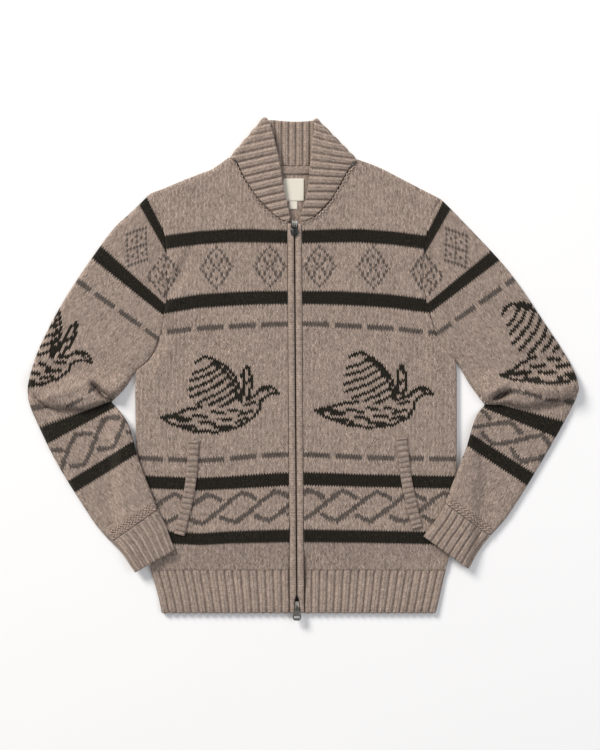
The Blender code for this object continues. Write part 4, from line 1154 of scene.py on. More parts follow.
def hem_levels(count):
    """Y of each row down a hem band; the rows draw close together at its foot."""
    return [lerp(HEM_TOP - 0.1, HEM_BOTTOM, 1.0 - (1.0 - k / count) ** 1.25)
            for k in range(count + 1)]


def underside(points):
    """The places on a front's underside below some points of its upper side."""
    low = np.array(points)
    low[:, 2] = front_top(low[:, 0], low[:, 1]) - CLOTH
    return low


def make_hem_front(side, name, ribs, material):
    cloth = Cloth()
    steps = ribs * RIB_STEPS
    inner = side * (FACING_OUT + 0.3)
    levels = hem_levels(26)
    rows, shades = [], []
    for y in levels:
        a, b = zip_x(y) + inner, float(side_at(y, side))
        x = np.linspace(a, b, steps + 1)
        rib = ribs_across(steps)
        seam = min(1.0, 0.35 + abs(y - HEM_TOP) / 5.0)
        z = front_top(x, np.full(x.shape, y)) + RIB_DEPTH * (rib - RIB_SINK) * seam
        scallop = 1.3 * (rib - 0.4) * smooth_of((HEM_BOTTOM + 2.5 - y) / 2.5)
        rows.append(np.stack([x, y - scallop, z], -1))
        shades.append(groove_shade(rib, seam))
    u = np.arange(steps + 1) / RIB_STEPS
    v = [-y / COURSE for y in levels]
    cloth.add_grid(rows, u, v, flip=side > 0, shade=shades)
    cloth.add_grid([rows[-1], underside(rows[-1])], u, [v[-1], v[-1] + 1.0], flip=side > 0)
    seam_edge = [row[-1] for row in rows]
    cloth.add_grid([seam_edge, underside(seam_edge)], v, [0.0, 1.0], flip=side < 0)
    return carry(cloth, name, material)


def make_hem_back(material):
    """The back hem band: ribs show on its inside; its outside rests on the surface."""
    cloth = Cloth()
    steps = RIBS_HEM_BACK * RIB_STEPS
    rows, lows, shades = [], [], []
    levels = hem_levels(14)
    for y in levels:
        x = np.linspace(float(side_at(y, -1)), float(side_at(y, 1)), steps + 1)
        ys = np.full(x.shape, y)
        rib = ribs_across(steps)
        curl = back_curl(x, ys)
        rows.append(np.stack([x, ys, BACK_TOP - 0.8 + 0.8 * rib + curl], -1))
        lows.append(np.stack([x, ys, curl + 0.9 * (1.0 - rib)], -1))
        shades.append(groove_shade(rib))
    u = np.arange(steps + 1) / RIB_STEPS
    v = [-y / COURSE for y in levels]
    cloth.add_grid(rows, u, v, flip=True, shade=shades)
    cloth.add_grid(lows, u, v, shade=shades)
    cloth.add_grid([rows[-1], lows[-1]], u, [v[-1], v[-1] + 1.0], flip=True)
    cloth.add_grid([rows[0], lows[0]], u, [v[0], v[0] + 1.0])
    for k, turned in ((0, True), (-1, False)):
        edge, low = [row[k] for row in rows], [row[k] for row in lows]
        cloth.add_grid([edge, low], v, [0.0, 1.0], flip=turned)
    return carry(cloth, "hem_back", material)


def tube_ring(a, b, places, floor, top, inset):
    """One ring of a flat tube: the upper layer across, then back underneath."""
    length = places[-1]
    radius = EDGE_ROLL - inset
    ring = []
    for layer in (1, -1):
        order = places if layer > 0 else list(reversed(places))[1:-1]
        for place in order:
            across = inset + place * (length - 2 * inset) / length
            x, y = lerp(a[0], b[0], across / length), lerp(a[1], b[1], across / length)
            low = float(floor(x, y))
            middle = low + MIDDLE
            rim = quarter(min(across - inset, length - inset - across) / radius)
            if layer > 0:
                full = low + (FRONT_UNDER if inset else top(place / length))
            else:
                full = low + inset
            ring.append((x, y, lerp(middle, full, rim)))
    return ring


CUFF_RINGS = 22
# Width of the plain strip at each fold of the cuff, beside the ribs
CUFF_FOLD = 3.0


def make_cuff(side, inner_edge, outer_edge, name, material):
    """A ribbed cuff: finer ribs and a rounded open end, round the same hollow."""
    cloth = Cloth()
    outer, inner, shades = [], [], []
    rings = zip(evenly(inner_edge, CUFF_RINGS), evenly(outer_edge, CUFF_RINGS))
    for k, (a, b) in enumerate(rings):
        length = math.dist(a, b)
        ribbed = length - 2 * CUFF_FOLD
        steps = RIBS_CUFF * RIB_STEPS
        places = [0.0, CUFF_FOLD / 2]
        places += [lerp(CUFF_FOLD, length - CUFF_FOLD, s / steps) for s in range(steps + 1)]
        places += [length - CUFF_FOLD / 2, length]
        end = quarter(min(1.0, (CUFF_RINGS - k + 0.3) / 2.0))
        depth = min(1.0, 0.3 + k / 4.0)

        def crest(place):
            return rib_height((place - CUFF_FOLD) / ribbed * RIBS_CUFF % 1.0)

        def top(t):
            relief = RIB_DEPTH * (crest(t * length) - RIB_SINK)
            return FRONT_TOP - 0.6 + relief * depth - 1.1 * (1.0 - end)

        for rows, inset in ((outer, 0.0), (inner, CLOTH - 0.4)):
            rows.append(tube_ring(a, b, places, lambda x, y: over_body(x, y, side), top, inset))
        shade = groove_shade([crest(p) if CUFF_FOLD <= p <= length - CUFF_FOLD else 1.0
                              for p in places], depth)
        shades.append(np.concatenate([shade, shade[::-1][1:-1]]))
    u = [s / RIB_STEPS for s in range(len(outer[0]))]
    v = [k * 1.15 for k in range(CUFF_RINGS + 1)]
    turned = side < 0
    cloth.add_grid(outer, u, v, ring=True, flip=turned, shade=shades)
    cloth.add_grid(inner, u, v, ring=True, flip=not turned)
    cloth.add_grid([outer[-1], inner[-1]], u, [v[-1], v[-1] + 1.0], ring=True, flip=turned)
    cloth.add_grid([outer[0], inner[0]], u, [0.0, 1.0], ring=True, flip=not turned)
    return carry(cloth, name, material)


# Collar, drafted in the same stations as its solid, with finer ribs on both faces

def inward_of(fold):
    """The plan direction square to a shoulder fold, towards the middle of the neck."""
    dx, dy = fold[2] - fold[0], fold[3] - fold[1]
    size = math.hypot(dx, dy)
    across = (dy / size, -dx / size)
    if across[0] * fold[0] > 0:
        across = (-across[0], -across[1])
    return across


def fold_stations(fold):
    """The half turn at a shoulder, from the upper layer to the lower one."""
    inward = inward_of(fold)
    radius = (FLAP_MID_Z - COLLAR_BACK_Z) / 2
    stations = []
    for step in range(5):
        turn = math.pi * step / 4
        back = radius * (1.0 - math.sin(turn))
        z = COLLAR_BACK_Z + radius * (1.0 + math.cos(turn))
        seam_x, seam_y, edge_x, edge_y = fold
        stations.append((seam_x + inward[0] * back, seam_y + inward[1] * back, z, z,
                         edge_x + inward[0] * back, edge_y + inward[1] * back, z))
    return stations


def flap_station(row):
    """A flap's row, put in the order that the collar's other stations have."""
    seam_x, seam_y, edge_x, edge_y, seam_z, mid_z, edge_z = row
    return seam_x, seam_y, seam_z, mid_z, edge_x, edge_y, edge_z


COLLAR_ACROSS = 34
# Shares of the way from the seam to the free edge, closer together near both
COLLAR_SHARES = [0.5 - 0.5 * math.cos(math.pi * c / COLLAR_ACROSS) for c in range(COLLAR_ACROSS + 1)]
# Width of one rib on the flaps and along the back of the neck
COLLAR_PITCH = 12.4
COLLAR_BACK_PITCH = 10.9


def collar_rib(count, x, y):
    """Which rib a place on the collar lies in, and how far along that rib it is."""
    if count < RIBS_FLAP + 0.5:
        return (y - 0.22 * (x + 17.0)) / COLLAR_PITCH, x
    if count > RIBS_FLAP + RIBS_COLLAR_BACK - 0.5:
        lean = -0.36 * smooth((y - 270.0) / 120.0)
        return (y - lean * (x - 20.0)) / COLLAR_PITCH, x
    return x / COLLAR_BACK_PITCH, y


def collar_lines():
    """The collar's middle surface: lines from seam to free edge, with each line's rib count."""
    back = [(sx, sy, COLLAR_BACK_Z, COLLAR_BACK_Z, ex, ey, COLLAR_BACK_Z)
            for sx, sy, ex, ey in COLLAR_BACK]
    left = [flap_station(row) for row in FLAP_LEFT]
    right = [flap_station(row) for row in reversed(FLAP_RIGHT)]
    stations = left + fold_stations(FOLD_LEFT) + back
    stations += list(reversed(fold_stations(FOLD_RIGHT))) + right
    run = lengths([((s[0] + s[4]) / 2, (s[1] + s[5]) / 2, s[3]) for s in stations])
    back_from, back_to = len(left) + 2, len(stations) - len(right) - 3
    marks = [0.0, run[back_from], run[back_to], run[-1]]
    ribs = [0.0, RIBS_FLAP, RIBS_FLAP + RIBS_COLLAR_BACK, 2 * RIBS_FLAP + RIBS_COLLAR_BACK]
    lines = []
    for step in range(int(ribs[-1]) * RIB_STEPS + 1):
        count = step / RIB_STEPS
        row = along(stations, float(np.interp(count, ribs, marks)), run)
        seam, mid_z, edge = row[:3], row[3], row[4:]
        line = []
        for w in COLLAR_SHARES:
            bulge = (mid_z - (seam[2] + edge[2]) / 2) * 4 * w * (1 - w)
            line.append(Vector((lerp(seam[0], edge[0], w), lerp(seam[1], edge[1], w),
                                lerp(seam[2], edge[2], w) + bulge)))
        lines.append((count, line))
    return lines


def make_collar(material):
    """Gives the collar's middle surface two ribbed faces and closes it all round."""
    lines = collar_lines()
    grids = [[] for _ in range(6)]
    for r, (count, line) in enumerate(lines):
        before = lines[max(r - 2, 0)][1]
        after = lines[min(r + 2, len(lines) - 1)][1]
        on_flap = smooth(abs(count - RIBS_FLAP - RIBS_COLLAR_BACK / 2) - RIBS_COLLAR_BACK / 2 + 0.5)
        rows = [[] for _ in grids]
        for c, (w, p) in enumerate(zip(COLLAR_SHARES, line)):
            across = line[min(c + 1, COLLAR_ACROSS)] - line[max(c - 1, 0)]
            normal = (after[c] - before[c]).cross(across).normalized()
            edge = quarter(min(w, 1.0 - w) * 14.0)
            lip = 1.0 + 0.35 * math.exp(-((1.0 - w) / 0.05) ** 2)
            rib, run = collar_rib(count, p.x, p.y)
            crest = rib_height(rib % 1.0)
            half = COLLAR_CLOTH / 2 * (0.3 + 0.7 * edge) * lip
            relief = 1.25 * RIB_DEPTH * (crest - 0.6) * edge
            values = (tuple(p - normal * (half + relief * on_flap)),
                      tuple(p + normal * (half + relief * (1.0 - on_flap))),
                      groove_shade(crest, on_flap), groove_shade(crest, 1.0 - on_flap), rib, run)
            for row, value in zip(rows, values):
                row.append(value)
        for grid, row in zip(grids, rows):
            grid.append(row)
    cloth = Cloth()
    upper, lower, above, below, ribs, runs = [np.array(grid) for grid in grids]
    u = np.arange(len(lines)) * 0.2
    v = [c * 0.9 for c in range(COLLAR_ACROSS + 1)]
    places = (ribs.T, runs.T / COURSE)
    for grid, turned, shade in ((upper, False, above), (lower, True, below)):
        cloth.add_grid(np.swapaxes(grid, 0, 1), u, v, flip=turned, shade=shade.T, places=places)
    for c, turned in ((0, True), (COLLAR_ACROSS, False)):
        cloth.add_grid([upper[:, c], lower[:, c]], u, [0.0, 0.6], flip=turned)
    for r, turned in ((0, False), (len(lines) - 1, True)):
        cloth.add_grid([upper[r], lower[r]], v, [0.0, 0.6], flip=turned)
    return carry(cloth, "collar", material,
                 closed=True)


WELT_RIB_STEPS = 8


def make_welt(line, name, material):
    """A ribbed strip that lies on its front, rounded at its edges."""
    run = lengths(line)[-1]
    cloth = Cloth()
    steps = RIBS_WELT * WELT_RIB_STEPS
    widths = [-1.0, -0.98, -0.9, -0.75, -0.5, -0.25, 0.0, 0.25, 0.5, 0.75, 0.9, 0.98, 1.0]
    rows, lows, shades = [], [], []
    for k in range(steps + 1):
        s = run * k / steps
        x, y = along(line, s)
        a, b = along(line, max(0.0, s - 4.0)), along(line, min(run, s + 4.0))
        nx, ny = unit(a, b)[1], -unit(a, b)[0]
        end = quarter(min(s, run - s) / 2.2 + 0.25)
        rib = rib_height(k / WELT_RIB_STEPS % 1.0)
        row, low = [], []
        for w in widths:
            px, py = x + nx * w * WELT_HALF, y + ny * w * WELT_HALF
            base = height_at(front_top, px, py) + SEAM_GAP
            rim = quarter((1.0 - abs(w)) * WELT_HALF / 2.4)
            high = WELT_CLOTH * (0.45 + 0.55 * end) + 1.3 * rib * end
            row.append((px, py, base + (0.25 + 0.75 * rim) * high))
            low.append((px, py, base))
        rows.append(row)
        lows.append(low)
        shades.append([groove_shade(rib, 0.9)] * len(widths))
    u = [w * 3.0 for w in widths]
    v = [k / WELT_RIB_STEPS for k in range(steps + 1)]
    cloth.add_grid(rows, u, v, shade=shades)
    cloth.add_grid(lows, u, v, flip=True)
    rows, lows = np.array(rows), np.array(lows)
    for c in (0, -1):
        cloth.add_grid([rows[:, c], lows[:, c]], v, [0.0, 0.5], flip=c == -1)
        cloth.add_grid([rows[c], lows[c]], u, [0.0, 0.5], flip=c == 0)
    return carry(cloth, name, material, closed=True)


def slider_gap(y):
    """How far each facing stands back from the zip line, wider at the sliders."""
    gap = FACING_GAP
    for middle, half, width, _ in (TOP_SLIDER, BOTTOM_SLIDER):
        away = abs(y - middle) - half
        gap = max(gap, lerp(width + 0.4, FACING_GAP, smooth((away - 0.6) / 9.0)))
    return gap


FACING_RINGS = 260
FACING_AROUND = 14


def make_facing(side, name, material):
    """The narrow tubular band beside the zip, a little uneven along its length."""
    cloth = Cloth()
    levels = [lerp(HEM_BOTTOM + 0.4, ZIP_TOP - 2.0, k / FACING_RINGS)
              for k in range(FACING_RINGS + 1)]
    turns = [2 * math.pi * s / FACING_AROUND for s in range(FACING_AROUND)]
    rows = []
    for k, y in enumerate(levels):
        end = quarter(min(k, FACING_RINGS - k) / 2.0 + 0.25)
        near = slider_gap(y)
        centre = zip_x(y) + side * 0.5 * (near + FACING_OUT)
        half = 0.5 * (FACING_OUT - near) * (0.7 + 0.3 * end)
        wave = 0.12 * math.sin(y / 7.3) + 0.1 * math.sin(y / 17.0 + side)
        tall = 0.5 * (FACING_TOP + 0.8 - FRONT_UNDER) * (0.5 + 0.5 * end)
        mid = 0.5 * (FACING_TOP + FRONT_UNDER)
        row = []
        for turn in turns:
            cx, cz = math.cos(turn), math.sin(turn)
            px = math.copysign(abs(cx) ** 0.8, cx)
            pz = math.copysign(abs(cz) ** 0.85, cz)
            row.append((centre + half * px, y, mid + (tall + (wave if cz > 0 else 0.0)) * pz))
        rows.append(row)
    u = [s * 0.55 for s in range(FACING_AROUND)]
    legs, across = np.meshgrid(np.array(levels) / 5.2, np.arange(FACING_AROUND + 1) * 0.4)
    # Painted shade and highlight: the band's colour is darker down its sides and a little lighter on its
    # top, as light falls on a round tube
    facing_up = [math.sin(turn) for turn in turns]
    shade = [[1.06 if up > 0.6 else 0.62 + 0.5 * max(0.0, up) for up in facing_up]] * len(rows)
    cloth.add_grid(rows, u, levels, ring=True, shade=shade, places=(legs.T, across.T))
    for r in (0, -1):
        middle = np.mean(np.array(rows[r]), axis=0)
        cap = [rows[r], [tuple(middle)] * FACING_AROUND]
        cloth.add_grid(cap, u, [0.0, 1.0], ring=True)
    return carry(cloth, name, material, closed=True)


def make_strip(name, rows, low, material, curl=0.0):
    """A thin woven or knitted strip, from rows of plan points, with its edges turned down."""
    cloth = Cloth()
    grid = np.array(rows, float)
    count, width = grid.shape[:2]
    edge = np.minimum(np.minimum(np.arange(count), np.arange(count)[::-1])[:, None],
                      np.minimum(np.arange(width), np.arange(width)[::-1])[None, :])
    lift = np.where(edge > 0, 1.0, 0.55)
    grid[..., 2] = low + (grid[..., 2] - low) * lift
    wave = curl * np.sin(grid[..., 0] / 9.0) * np.cos(grid[..., 1] / 11.0)
    grid[..., 2] += np.where(edge > 0, wave, 0.0)
    bottom = grid.copy()
    bottom[..., 2] = low
    u, v = np.arange(width) * 0.5, np.arange(count) * 0.8
    cloth.add_grid(grid, u, v)
    cloth.add_grid(bottom, u, v, flip=True)
    for k in (0, -1):
        cloth.add_grid([grid[k], bottom[k]], u, [0.0, 0.3])
        cloth.add_grid([grid[:, k], bottom[:, k]], v, [0.0, 0.3])
    return carry(cloth, name, material, closed=True)


# Repeats along a line: zip teeth, linking stitches and herringbone

def row_tree():
    """Sets one unit at even steps along a line, with every second one mirrored."""
    tree = bpy.data.node_groups.new("units along a line", "GeometryNodeTree")
    tree.interface.new_socket("Row", in_out="OUTPUT", socket_type="NodeSocketGeometry")
    for name, kind in (("Line", "Geometry"), ("Unit", "Object"), ("Step", "Float"),
                       ("Side shift", "Float"), ("Wobble", "Float"), ("Material", "Material")):
        tree.interface.new_socket(name, in_out="INPUT", socket_type="NodeSocket" + kind)
    given = tree.nodes.new("NodeGroupInput").outputs
    curve = put(tree, "GeometryNodeMeshToCurve", [("Mesh", given["Line"])])
    points = put(tree, "GeometryNodeCurveToPoints", [("Curve", curve.outputs[0]),
                                                     ("Length", given["Step"])], mode="LENGTH")
    tangent = points.outputs["Tangent"]
    odd = maths(tree, "MODULO", put(tree, "GeometryNodeInputIndex").outputs[0], 2.0)
    sign = maths(tree, "MULTIPLY_ADD", odd, 2.0, -1.0)
    side = put(tree, "ShaderNodeVectorMath", [(0, tangent), (1, (0.0, 0.0, 1.0))],
               operation="CROSS_PRODUCT")
    away = maths(tree, "MULTIPLY", sign, given["Side shift"])
    moved = put(tree, "GeometryNodeSetPosition", [
        ("Geometry", points.outputs["Points"]), ("Offset", scaled(tree, side.outputs[0], away))])
    turn = put(tree, "FunctionNodeRandomValue", [
        (2, maths(tree, "SUBTRACT", 0.0, given["Wobble"])), (3, given["Wobble"]), ("Seed", 7)],
        data_type="FLOAT")
    aim = put(tree, "FunctionNodeAlignRotationToVector", [("Vector", tangent)], axis="X",
              pivot_axis="Z")
    spin = put(tree, "FunctionNodeAxisAngleToRotation", [("Axis", (0.0, 0.0, 1.0)),
                                                         ("Angle", turn.outputs[1])])
    both = put(tree, "FunctionNodeRotateRotation", [
        ("Rotation", aim.outputs[0]), ("Rotate By", spin.outputs[0])], rotation_space="LOCAL")
    scale = put(tree, "ShaderNodeCombineXYZ", [("X", 1.0), ("Y", sign), ("Z", 1.0)])
    unit_shape = put(tree, "GeometryNodeObjectInfo", [("Object", given["Unit"])])
    placed = put(tree, "GeometryNodeInstanceOnPoints", [
        ("Points", moved.outputs[0]), ("Instance", unit_shape.outputs["Geometry"]),
        ("Rotation", both.outputs[0]), ("Scale", scale.outputs[0])])
    real = put(tree, "GeometryNodeRealizeInstances", [("Geometry", placed.outputs[0])])
    painted = put(tree, "GeometryNodeSetMaterial", [("Geometry", real.outputs[0]),
                                                    ("Material", given["Material"])])
    put(tree, "NodeGroupOutput", [(0, painted.outputs[0])])
    return tree


def bead(name, length, width, height, lean=0.0, rings=5):
    """A fat strand of yarn, pointed at both ends; lean slants it to one side."""
    mesh = bpy.data.meshes.new(name)
    with edited(mesh) as shape:
        bmesh.ops.create_uvsphere(shape, u_segments=8, v_segments=rings, radius=0.5)
        for v in shape.verts:
            x, y, z = v.co
            v.co = (z * length * MM, (y * width + z * lean) * MM, x * height * MM)
        bmesh.ops.recalc_face_normals(shape, faces=shape.faces)
    mesh.shade_smooth()
    return shown(name, mesh)


ROWS = {}


def row_of(name, points, unit_object, step, shift, wobble, material):
    """A finished row of units along a line of points, riding on the garment."""
    if "tree" not in ROWS:
        ROWS["tree"] = row_tree()
    path = bpy.data.meshes.new("line")
    path.from_pydata([[c * MM for c in point] for point in points],
                     [(k, k + 1) for k in range(len(points) - 1)], [])
    line = shown("line", path)
    change = line.modifiers.new(name, "NODES")
    change.node_group = ROWS["tree"]
    values = {"Unit": unit_object, "Step": step * MM, "Side shift": shift * MM, "Wobble": wobble,
              "Material": material}
    for socket in ROWS["tree"].interface.items_tree:
        if socket.name in values:
            change[socket.identifier] = values[socket.name]
    line.update_tag()
    graph = bpy.context.evaluated_depsgraph_get()
    graph.update()
    mesh = bpy.data.meshes.new_from_object(line.evaluated_get(graph), depsgraph=graph)
    bpy.data.objects.remove(line)
    if not mesh.polygons:
        raise RuntimeError(f"the tree made nothing for {name}")
    mesh.name = name
    obj = shown(name, mesh)
    recalculate(obj)
    mesh.shade_smooth()
    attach(obj, "root")
    return obj


def edged_solid(name, outline, low, high, soften, material, holes=(), segments=3):
    """A flat solid from a plan outline in millimetres, with its edges rounded over."""
    curve = bpy.data.curves.new(name, "CURVE")
    curve.dimensions = "2D"
    curve.fill_mode = "BOTH"
    curve.extrude = (high - low) / 2 * MM
    for loop in (outline, *holes):
        spline = curve.splines.new("POLY")
        spline.points.add(len(loop) - 1)
        for point, (x, y) in zip(spline.points, loop):
            point.co = (x * MM, y * MM, 0.0, 1.0)
        spline.use_cyclic_u = True
    flat = shown(name, curve)
    bpy.context.view_layer.update()
    source = flat.evaluated_get(bpy.context.evaluated_depsgraph_get())
    mesh = bpy.data.meshes.new_from_object(source)
    bpy.data.objects.remove(flat)
    bpy.data.curves.remove(curve)
    with edited(mesh) as shape:
        bmesh.ops.remove_doubles(shape, verts=shape.verts, dist=0.000005)
        bmesh.ops.dissolve_limit(shape, angle_limit=0.02, verts=shape.verts, edges=shape.edges)
        bmesh.ops.translate(shape, verts=shape.verts, vec=(0.0, 0.0, (low + high) / 2 * MM))
        rims = [e for e in shape.edges
                if len(e.link_faces) == 2 and abs(e.verts[0].co.z - e.verts[1].co.z) < 1e-7]
        bmesh.ops.bevel(shape, geom=rims, offset=soften * MM, segments=segments, profile=0.5,
                        affect="EDGES", clamp_overlap=True)
        bmesh.ops.recalc_face_normals(shape, faces=shape.faces)
        bmesh.ops.triangulate(shape, faces=shape.faces)
    mesh.name = name
    mesh.materials.clear()
    mesh.materials.append(material)
    mesh.shade_smooth()
    return shown(name, mesh)


def joined(name, objects, materials):
    """Several objects as one mesh; each one keeps its own material."""
    kinds = sorted(set(materials), key=materials.index)
    mesh = bpy.data.meshes.new(name)
    with edited(mesh) as shape:
        for obj, material in zip(objects, materials):
            first = len(shape.faces)
            shape.from_mesh(obj.data)
            shape.faces.ensure_lookup_table()
            for face in shape.faces[first:]:
                face.material_index = kinds.index(material)
    for material in kinds:
        mesh.materials.append(material)
    mesh.shade_smooth()
    for obj in objects:
        bpy.data.objects.remove(obj)
    return shown(name + "_part", mesh)


def arc(cx, cy, rx, ry, start, end, steps):
    turns = [math.radians(lerp(start, end, k / steps)) for k in range(steps + 1)]
    return [(cx + rx * math.cos(t), cy + ry * math.sin(t)) for t in turns]


def make_slider(name, place, wide_end, material, bridge_material):
    """A slider: lower block, shouldered upper plate, and the bridge that holds its pull."""
    middle, half, width, axis = place
    x = zip_x(middle)
    end = wide_end * half

    def plan(points):
        return [(x + px * width, middle + py * end) for px, py in points]

    sides = [(-0.55, -0.97), (-0.8, -0.9), (-0.9, -0.6), (-0.97, 0.2), (-1.0, 0.6), (-0.86, 0.9),
             (-0.5, 1.0), (-0.14, 0.9), (0.0, 0.84)]
    upper = plan(sides + [(-px, py) for px, py in reversed(sides[:-1])])
    slim = [(-0.5, -0.94), (-0.82, -0.86), (-0.92, 0.55), (-0.78, 0.86), (-0.4, 0.94)]
    lower = plan(slim + [(-px, py) for px, py in reversed(slim)])
    top = edged_solid(name, upper, SLIDER_TOP_Z - 1.7, SLIDER_TOP_Z, 0.45, material)
    body = edged_solid(name + "_body", lower, SLIDER_LOW, SLIDER_TOP_Z - 1.4, 0.3, material)
    high, hole = AXIS_Z + BRIDGE_TOP, AXIS_Z + BRIDGE_HOLE_TOP
    foot = SLIDER_TOP_Z - 0.5
    reach = BRIDGE_FOOT_OUT
    outer = [(-reach, foot), (-reach, high - 1.6)]
    outer += [(-reach + 1.6 - 1.6 * math.cos(t), high - 1.6 + 1.6 * math.sin(t))
              for t in (0.4, 0.8, 1.2)]
    outer += [(-y, z) for y, z in reversed(outer)]
    inner = [(-BRIDGE_FOOT_IN, foot), (-BRIDGE_FOOT_IN, hole - 0.7),
             (-BRIDGE_FOOT_IN + 0.25, hole - 0.2), (-BRIDGE_FOOT_IN + 0.8, hole)]
    inner += [(-y, z) for y, z in reversed(inner)]
    bridge = edged_solid(name + "_bridge", outer + list(reversed(inner)), -BRIDGE_HALF, BRIDGE_HALF,
                         0.28, material)
    stand = Matrix(((0, 0, 1, x * MM), (1, 0, 0, axis * MM), (0, 1, 0, 0), (0, 0, 0, 1)))
    bridge.data.transform(stand)
    piece = joined(name, [top, body, bridge], [material, material, bridge_material])
    return settle(piece, "root", name)


def make_pull(name, place, outline, slot, bulb, material):
    """A pull: a pin under the bridge, two legs and a grip, at rest on its slider."""
    x, axis = zip_x(place[0]), place[3]
    holes = [[(x - LEG_IN, axis - PIN_HALF), (x + LEG_IN, axis - PIN_HALF),
              (x + LEG_IN, axis - LEG_REACH), (x - LEG_IN, axis - LEG_REACH)]]
    if slot:
        holes.append([(x + px, axis + py) for px, py in slot])
    ring = [(x + px, axis + py) for px, py in outline]
    thick = PULL_THICK / 2
    grip = edged_solid(name, ring, AXIS_Z - thick, AXIS_Z + thick, 0.5, material, holes, segments=4)
    parts = [grip]
    if bulb:
        raised = [(x + px, axis + py) for px, py in bulb]
        parts.append(edged_solid(name + "_bulb", raised, AXIS_Z - 0.4, AXIS_Z + thick + 0.55, 0.7,
                                 material, segments=4))
        for k in range(3):
            low = axis - 9.7 - 2.9 * k
            wide = 5.3 - 0.5 * k
            bar = [(x - wide, low - 1.3), (x + wide, low + 1.1), (x + wide, low + 2.2),
                   (x - wide, low - 0.2)]
            parts.append(edged_solid(f"{name}_ridge_{k + 1}", bar, AXIS_Z + thick,
                                     AXIS_Z + thick + 1.0, 0.35, material))
    piece = joined(name, parts, [material] * len(parts))
    return settle(piece, name, name)


def top_pull_outline():
    neck = [(-LEG_OUT, PIN_HALF), (-LEG_OUT, -LEG_REACH)]
    bulb = arc(0.0, -12.6, 6.3, 6.6, 132.0, 408.0, 30)
    return neck + bulb + [(LEG_OUT, -LEG_REACH), (LEG_OUT, PIN_HALF)]


def ring_outline():
    left = arc(-2.6, -14.0, 4.4, 6.4, 110.0, 270.0, 18)
    right = arc(2.6, -14.0, 4.4, 6.4, 270.0, 430.0, 18)
    return [(-LEG_OUT, PIN_HALF), (-LEG_OUT, -LEG_REACH)] + left + right + [
        (LEG_OUT, -LEG_REACH), (LEG_OUT, PIN_HALF)]


def make_zip(settings):
    """The zip's tape and its closed chain of teeth."""
    levels = [lerp(HEM_BOTTOM + 1.0, ZIP_TOP - 3.0, k / 120) for k in range(121)]
    rows = []
    for y in levels:
        x = zip_x(y)
        rows.append([(x + w, y, ZIP_TAPE_HIGH) for w in
                     (-TAPE_HALF, -TAPE_HALF + 0.5, -8.0, -CHAIN_HALF, 0.0, CHAIN_HALF, 8.0,
                      TAPE_HALF - 0.5, TAPE_HALF)])
    tape = make_strip("zip_tape", rows, ZIP_TAPE_LOW, LOOKS["tape"])
    ends = [(zip_x(y), y, CHAIN_TOP - 0.45) for y in (ZIP_TOP - 6.0, HEM_BOTTOM + 3.0)]
    tooth = bead("tooth", 0.8, 2.6, 1.0, rings=6)
    teeth = row_of("zip_teeth", ends, tooth, settings.tooth_pitch / MM, 0.75, 0.0, LOOKS["teeth"])
    bpy.data.objects.remove(tooth)
    return tape, teeth


def make_neck():
    """Neck tape, label and size tab, all inside the back of the neck."""
    lift = BACK_TOP + SEAM_GAP
    rows = []
    for w in (-10.4, -9.8, -8.6, -6.8, -5.0, -3.2, -1.4, 0.4, 1.6, 2.2):
        high = 0.6 + 1.9 * quarter(min(w + 10.4, 2.2 - w) / 3.2)
        row = []
        for k in range(79):
            x = lerp(-TAPE_REACH, TAPE_REACH, k / 78)
            y = float(np.interp(x, [p[0] for p in TOP_LINE], [p[1] for p in TOP_LINE]))
            row.append((x, y + w, lift + high))
        rows.append(row)
    make_strip("neck_binding", rows, lift, LOOKS["band"])
    for name, box, thick, flat in (("neck_label", LABEL, 1.0, LABEL_FLAT),
                                   ("size_tab", TAB, 0.8, TAB_FLAT)):
        x0, y0, x1, y1 = box
        nx, ny = 34, 36
        rows = [[(lerp(x0, x1, a / nx), lerp(y0, y1, b / ny), lift + thick * LABEL_THICK)
                 for a in range(nx + 1)] for b in range(ny + 1)]
        make_strip(name, rows, lift, LOOKS["label"], curl=0.12)
    # Whip stitches that hold the label's sides
    whip = bead("whip", 0.8, 2.8, 0.8, lean=0.5)
    for name, x in (("left", LABEL[0] + 0.4), ("right", LABEL[2] - 0.4)):
        points = [(x, lerp(LABEL[1] + 2.0, LABEL[3] - 2.0, k / 12), lift + LABEL_THICK + 0.2)
                  for k in range(13)]
        row_of("label_stitch_" + name, points, whip, 3.1, 0.0, 0.15, LOOKS["seam"])
    bpy.data.objects.remove(whip)


def make_seams(settings):
    """Linking stitches where the collar joins the fronts, and a herringbone row above each cuff."""
    link = bead("link", 4.4, 1.9, 1.7, lean=1.5)
    for name, line, side, start in (("left", NECKLINE_LEFT, -1, (-95.5, 322.5)),
                                    ("right", NECKLINE_RIGHT, 1, (93.5, 320.0))):
        stations = evenly([start] + sorted(line, key=lambda p: -abs(p[0])), 60)
        places = [(x + side * 1.2, y - 0.8) for x, y in stations]
        points = [(x, y, height_at(front_top, x, y) + 0.9) for x, y in places]
        row_of("collar_linking_" + name, points, link, settings.link_pitch / MM, 0.95, 0.1,
               LOOKS["seam"])
    plait = bead("plait", 6.6, 2.5, 2.3, lean=4.2)
    for name, arm in (("left", LEFT_ARM), ("right", RIGHT_ARM)):
        inner, outer = arm.fore_in[-1], arm.fore_out[-1]
        away = unit(inner, arm.fore_in[-4])
        for lane in (0, 1):
            back = 5.0 + 7.5 * lane
            points = []
            for k in range(25):
                t = lerp(0.06, 0.94, k / 24)
                x = lerp(inner[0], outer[0], t) + away[0] * back
                y = lerp(inner[1], outer[1], t) + away[1] * back
                points.append((x, y, height_at(arm.fore_top, x, y) + 0.7))
            row_of(f"cuff_plait_{name}_{lane + 1}", points, plait, 3.1, 1.9, 0.12, LOOKS["seam"])
    for unit_object in (link, plait):
        bpy.data.objects.remove(unit_object)


# Materials

